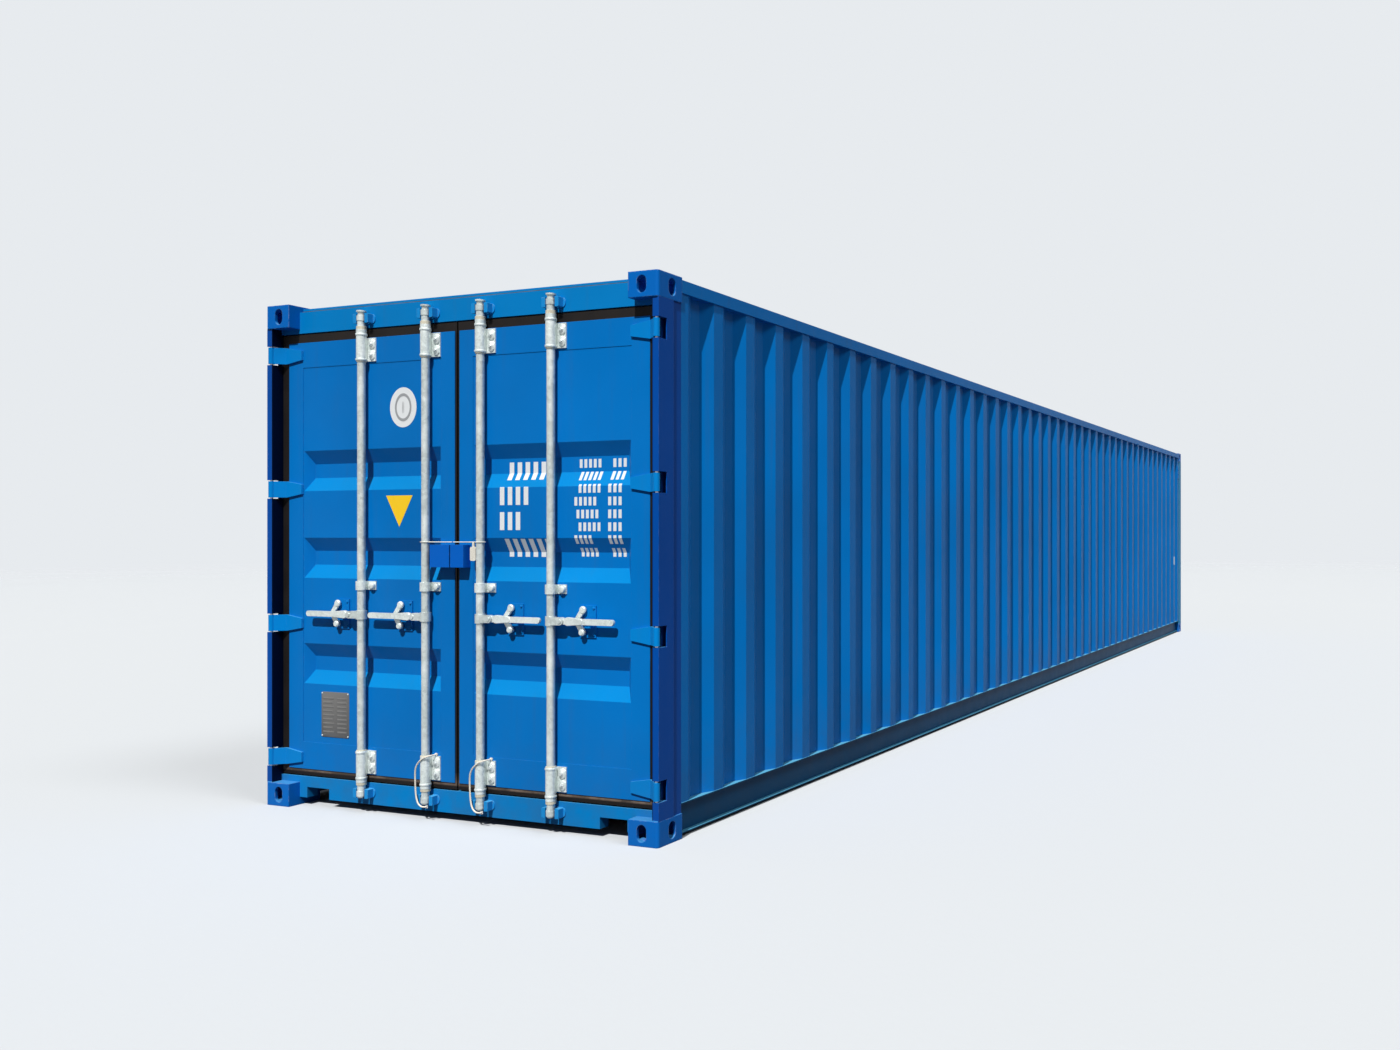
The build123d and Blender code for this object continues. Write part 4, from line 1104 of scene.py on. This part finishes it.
def top_casting_edge():
    """Half the clear width between the top castings, less a small gap."""
    return min(abs(v.co.x) for v in frame["nodes"]["corner_castings_top"].data.vertices) - CASTING_GAP


def frame_welds(inset):
    """Beads across the door posts' ends, and up beside the sill and the header."""
    bm = bmesh.new()
    casting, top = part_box("corner_castings_bottom")[1][2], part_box("corner_castings_top")[0][2]
    header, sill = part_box("door_header"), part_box("door_sill")
    post_y, header_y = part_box("door_posts")[0][1] + inset, header[0][1] - inset
    for side in (-1, 1):
        outer, inner = side * (CAD_HIGH.x - POST_INSET), side * header[1][0]
        for z in (casting + inset, top - inset):
            bead(bm, (inner, post_y, z), (outer, post_y, z))
        for z0, z1 in ((casting, sill[1][2]), (header[0][2], top)):
            bead(bm, (inner - side * inset, header_y, z0), (inner - side * inset, header_y, z1))
    piece("frame_welds", bm, "header_paint", "frame")


class CONTAINER_OT_welds(ContainerOperator, bpy.types.Operator):
    """Runs weld beads at the posts, header, sill and blades, and the dark sealant line on the header, which
    is also painted shadow under the roof's edge
    """

    bl_idname = "container.welds"
    bl_label = "Weld beads"

    def execute(self, context):
        inset = context.scene.container_gear.weld * WELD_SUNK
        frame_welds(inset)
        # A dark bead along the header's top: sealant, and also a stand-in for the shadow line under the
        # roof's edge.
        bm = bmesh.new()
        seam, reach = Vector((0, behind(SHADOW_SEAL_DEPTH), SHADOW_SEAL_Z)), Vector((top_casting_edge(), 0, 0))
        tube(bm, [seam - reach, seam + reach], [SHADOW_SEAL_RADIUS, SHADOW_SEAL_RADIUS])
        piece("header_seal", bm, "bitumen_undercoat", "frame")
        for word in DOORS:
            leaf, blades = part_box(f"door_frame_{word}"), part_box(f"hinge_blades_{word}")
            bm = bmesh.new()
            x = outward(word) * (max(abs(leaf[0][0]), abs(leaf[1][0])) - BLADE_IN)
            y = leaf[0][1] - inset
            low, high = blades[0][2] + BLADE_END, blades[1][2] - BLADE_END
            for i in range(BLADES):
                z = low + i * (high - low) / (BLADES - 1)
                bead(bm, (x, y, z - BLADE_HALF), (x, y, z + BLADE_HALF))
            leaf_piece("blade_welds", word, bm, "hinge_paint")
        return {"FINISHED"}


# Stage

KEY_WAY, KEY_SPREAD, KEY_COLOR = (-0.2, 1.0, -1.35), 0.8, (1.0, 0.99, 0.97)
SIDE_WAY, SIDE_SPREAD, SIDE_COLOR = (-0.6, 0.1, -0.79), 20.0, (0.95, 0.98, 1.0)
SKY_COLOR = (0.9, 0.95, 1.0, 1)
FLOOR_RADIUS, FADE_START, FADE_END = 70.0, 14.0, 55.0
CAMERA_PLACE = Vector((4.381, -10.304, 1.4))
CAMERA_WAY = Vector((-0.3397, 0.9405, 0.0))
CAMERA_SHIFT = (-0.2169, 0.0075)


def stage_light(name, way, strength, spread_deg, color):
    lamp = bpy.data.lights.new(name, "SUN")
    lamp.energy = strength
    lamp.angle = math.radians(spread_deg)
    lamp.color = color
    new_object(name, lamp).rotation_euler = Vector(way).to_track_quat("-Z", "Y").to_euler()


def seen_rays(tree):
    """1 for rays that see the floor or backdrop, 0 for rays that light the object."""
    rays = add(tree, "LightPath").outputs
    seen = calc("MAXIMUM", rays["Is Camera Ray"], rays["Is Transmission Ray"])
    return calc("MAXIMUM", seen, rays["Is Glossy Ray"])


def studio_floor(stage):
    """A pale round floor that fades into the backdrop far from the object."""
    bm = bmesh.new()
    bmesh.ops.create_circle(bm, cap_ends=True, segments=96, radius=FLOOR_RADIUS)
    mesh = bpy.data.meshes.new("studio_floor")
    bm.to_mesh(mesh)
    bm.free()
    floor = new_object("studio_floor", mesh)
    tree, shader = new_finish("studio_floor")
    place = rest_place(tree)
    away = add(tree, "VectorMath", {"operation": "LENGTH"}, _0=place).outputs["Value"]
    color = blend_color(seen_rays(tree), rgba(stage.floor_bounce), rgba(stage.floor))
    shader.inputs["Specular IOR Level"].default_value = FLOOR_SHINE
    dress(shader, color, 0.8, noise(place, 30.0, 3.0), 0.0004)
    clear = add(tree, "BsdfTransparent")
    mixed = add(tree, "MixShader", _0=spread(away, FADE_START, FADE_END), _1=shader.outputs[0],
                _2=clear.outputs[0])
    feed(tree.nodes["Material Output"].inputs["Surface"], mixed.outputs[0])
    mesh.materials.append(bpy.data.materials["studio_floor"])
    floor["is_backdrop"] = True


def studio_world(stage):
    world = bpy.data.worlds.new("studio")
    bpy.context.scene.world = world
    world.use_nodes = True
    tree = world.node_tree
    tree.nodes.clear()
    sky = add(tree, "Background", Color=SKY_COLOR, Strength=stage.sky)
    back = add(tree, "Background", Color=rgba(stage.backdrop), Strength=1.0)
    both = add(tree, "MixShader", _0=seen_rays(tree), _1=sky.outputs[0], _2=back.outputs[0])
    feed(add(tree, "OutputWorld").inputs["Surface"], both.outputs[0])


class CONTAINER_OT_stage(ContainerOperator, bpy.types.Operator):
    """Sets the floor, backdrop, lights and camera"""

    bl_idname = "container.stage"
    bl_label = "Stage"

    def execute(self, context):
        scene, stage = context.scene, context.scene.container_stage
        studio_floor(stage)
        studio_world(stage)
        stage_light("key_light", KEY_WAY, stage.key, KEY_SPREAD, KEY_COLOR)
        stage_light("side_light", SIDE_WAY, stage.side, SIDE_SPREAD, SIDE_COLOR)
        data = bpy.data.cameras.new("photo_camera")
        data.sensor_width = 36.0
        data.lens = stage.lens
        data.shift_x, data.shift_y = CAMERA_SHIFT
        camera = new_object("photo_camera", data)
        camera.location = CAMERA_PLACE
        camera.rotation_euler = CAMERA_WAY.to_track_quat("-Z", "Y").to_euler()
        scene.camera = camera
        scene.view_settings.view_transform = "Standard"
        return {"FINISHED"}


class CONTAINER_PT_sidebar(bpy.types.Panel):
    """Lists the container's colours, sizes and steps"""

    bl_label = "Container"
    bl_idname = "CONTAINER_PT_sidebar"
    bl_space_type = "VIEW_3D"
    bl_region_type = "UI"
    bl_category = "Container"

    def draw(self, context):
        for group in SETTINGS:
            held = getattr(context.scene, group)
            box = self.layout.box()
            for prop in held.__annotations__:
                box.prop(held, prop)
        for operator in OPERATORS:
            self.layout.operator(operator.bl_idname)


SETTINGS = {
    "container_finish": ContainerFinish, "container_marks": ContainerMarks,
    "container_gear": ContainerGear, "container_stage": ContainerStage,
}
OPERATORS = (CONTAINER_OT_stage, CONTAINER_OT_finishes, CONTAINER_OT_ropes, CONTAINER_OT_marks,
             CONTAINER_OT_fasteners, CONTAINER_OT_forgings, CONTAINER_OT_bushes, CONTAINER_OT_welds)
CLASSES = (*SETTINGS.values(), *OPERATORS, CONTAINER_PT_sidebar)


def register():
    for made in CLASSES:
        bpy.utils.register_class(made)
    for name, group in SETTINGS.items():
        setattr(bpy.types.Scene, name, PointerProperty(type=group))


def unregister():
    for name in SETTINGS:
        delattr(bpy.types.Scene, name)
    for made in reversed(CLASSES):
        bpy.utils.unregister_class(made)


def main():
    register()
    bpy.ops.container.stage()
    bpy.ops.container.finishes()
    bpy.ops.container.ropes()
    bpy.ops.container.marks()
    bpy.ops.container.fasteners()
    bpy.ops.container.forgings()
    bpy.ops.container.bushes()
    bpy.ops.container.welds()


if __name__ == "__main__":
    main()
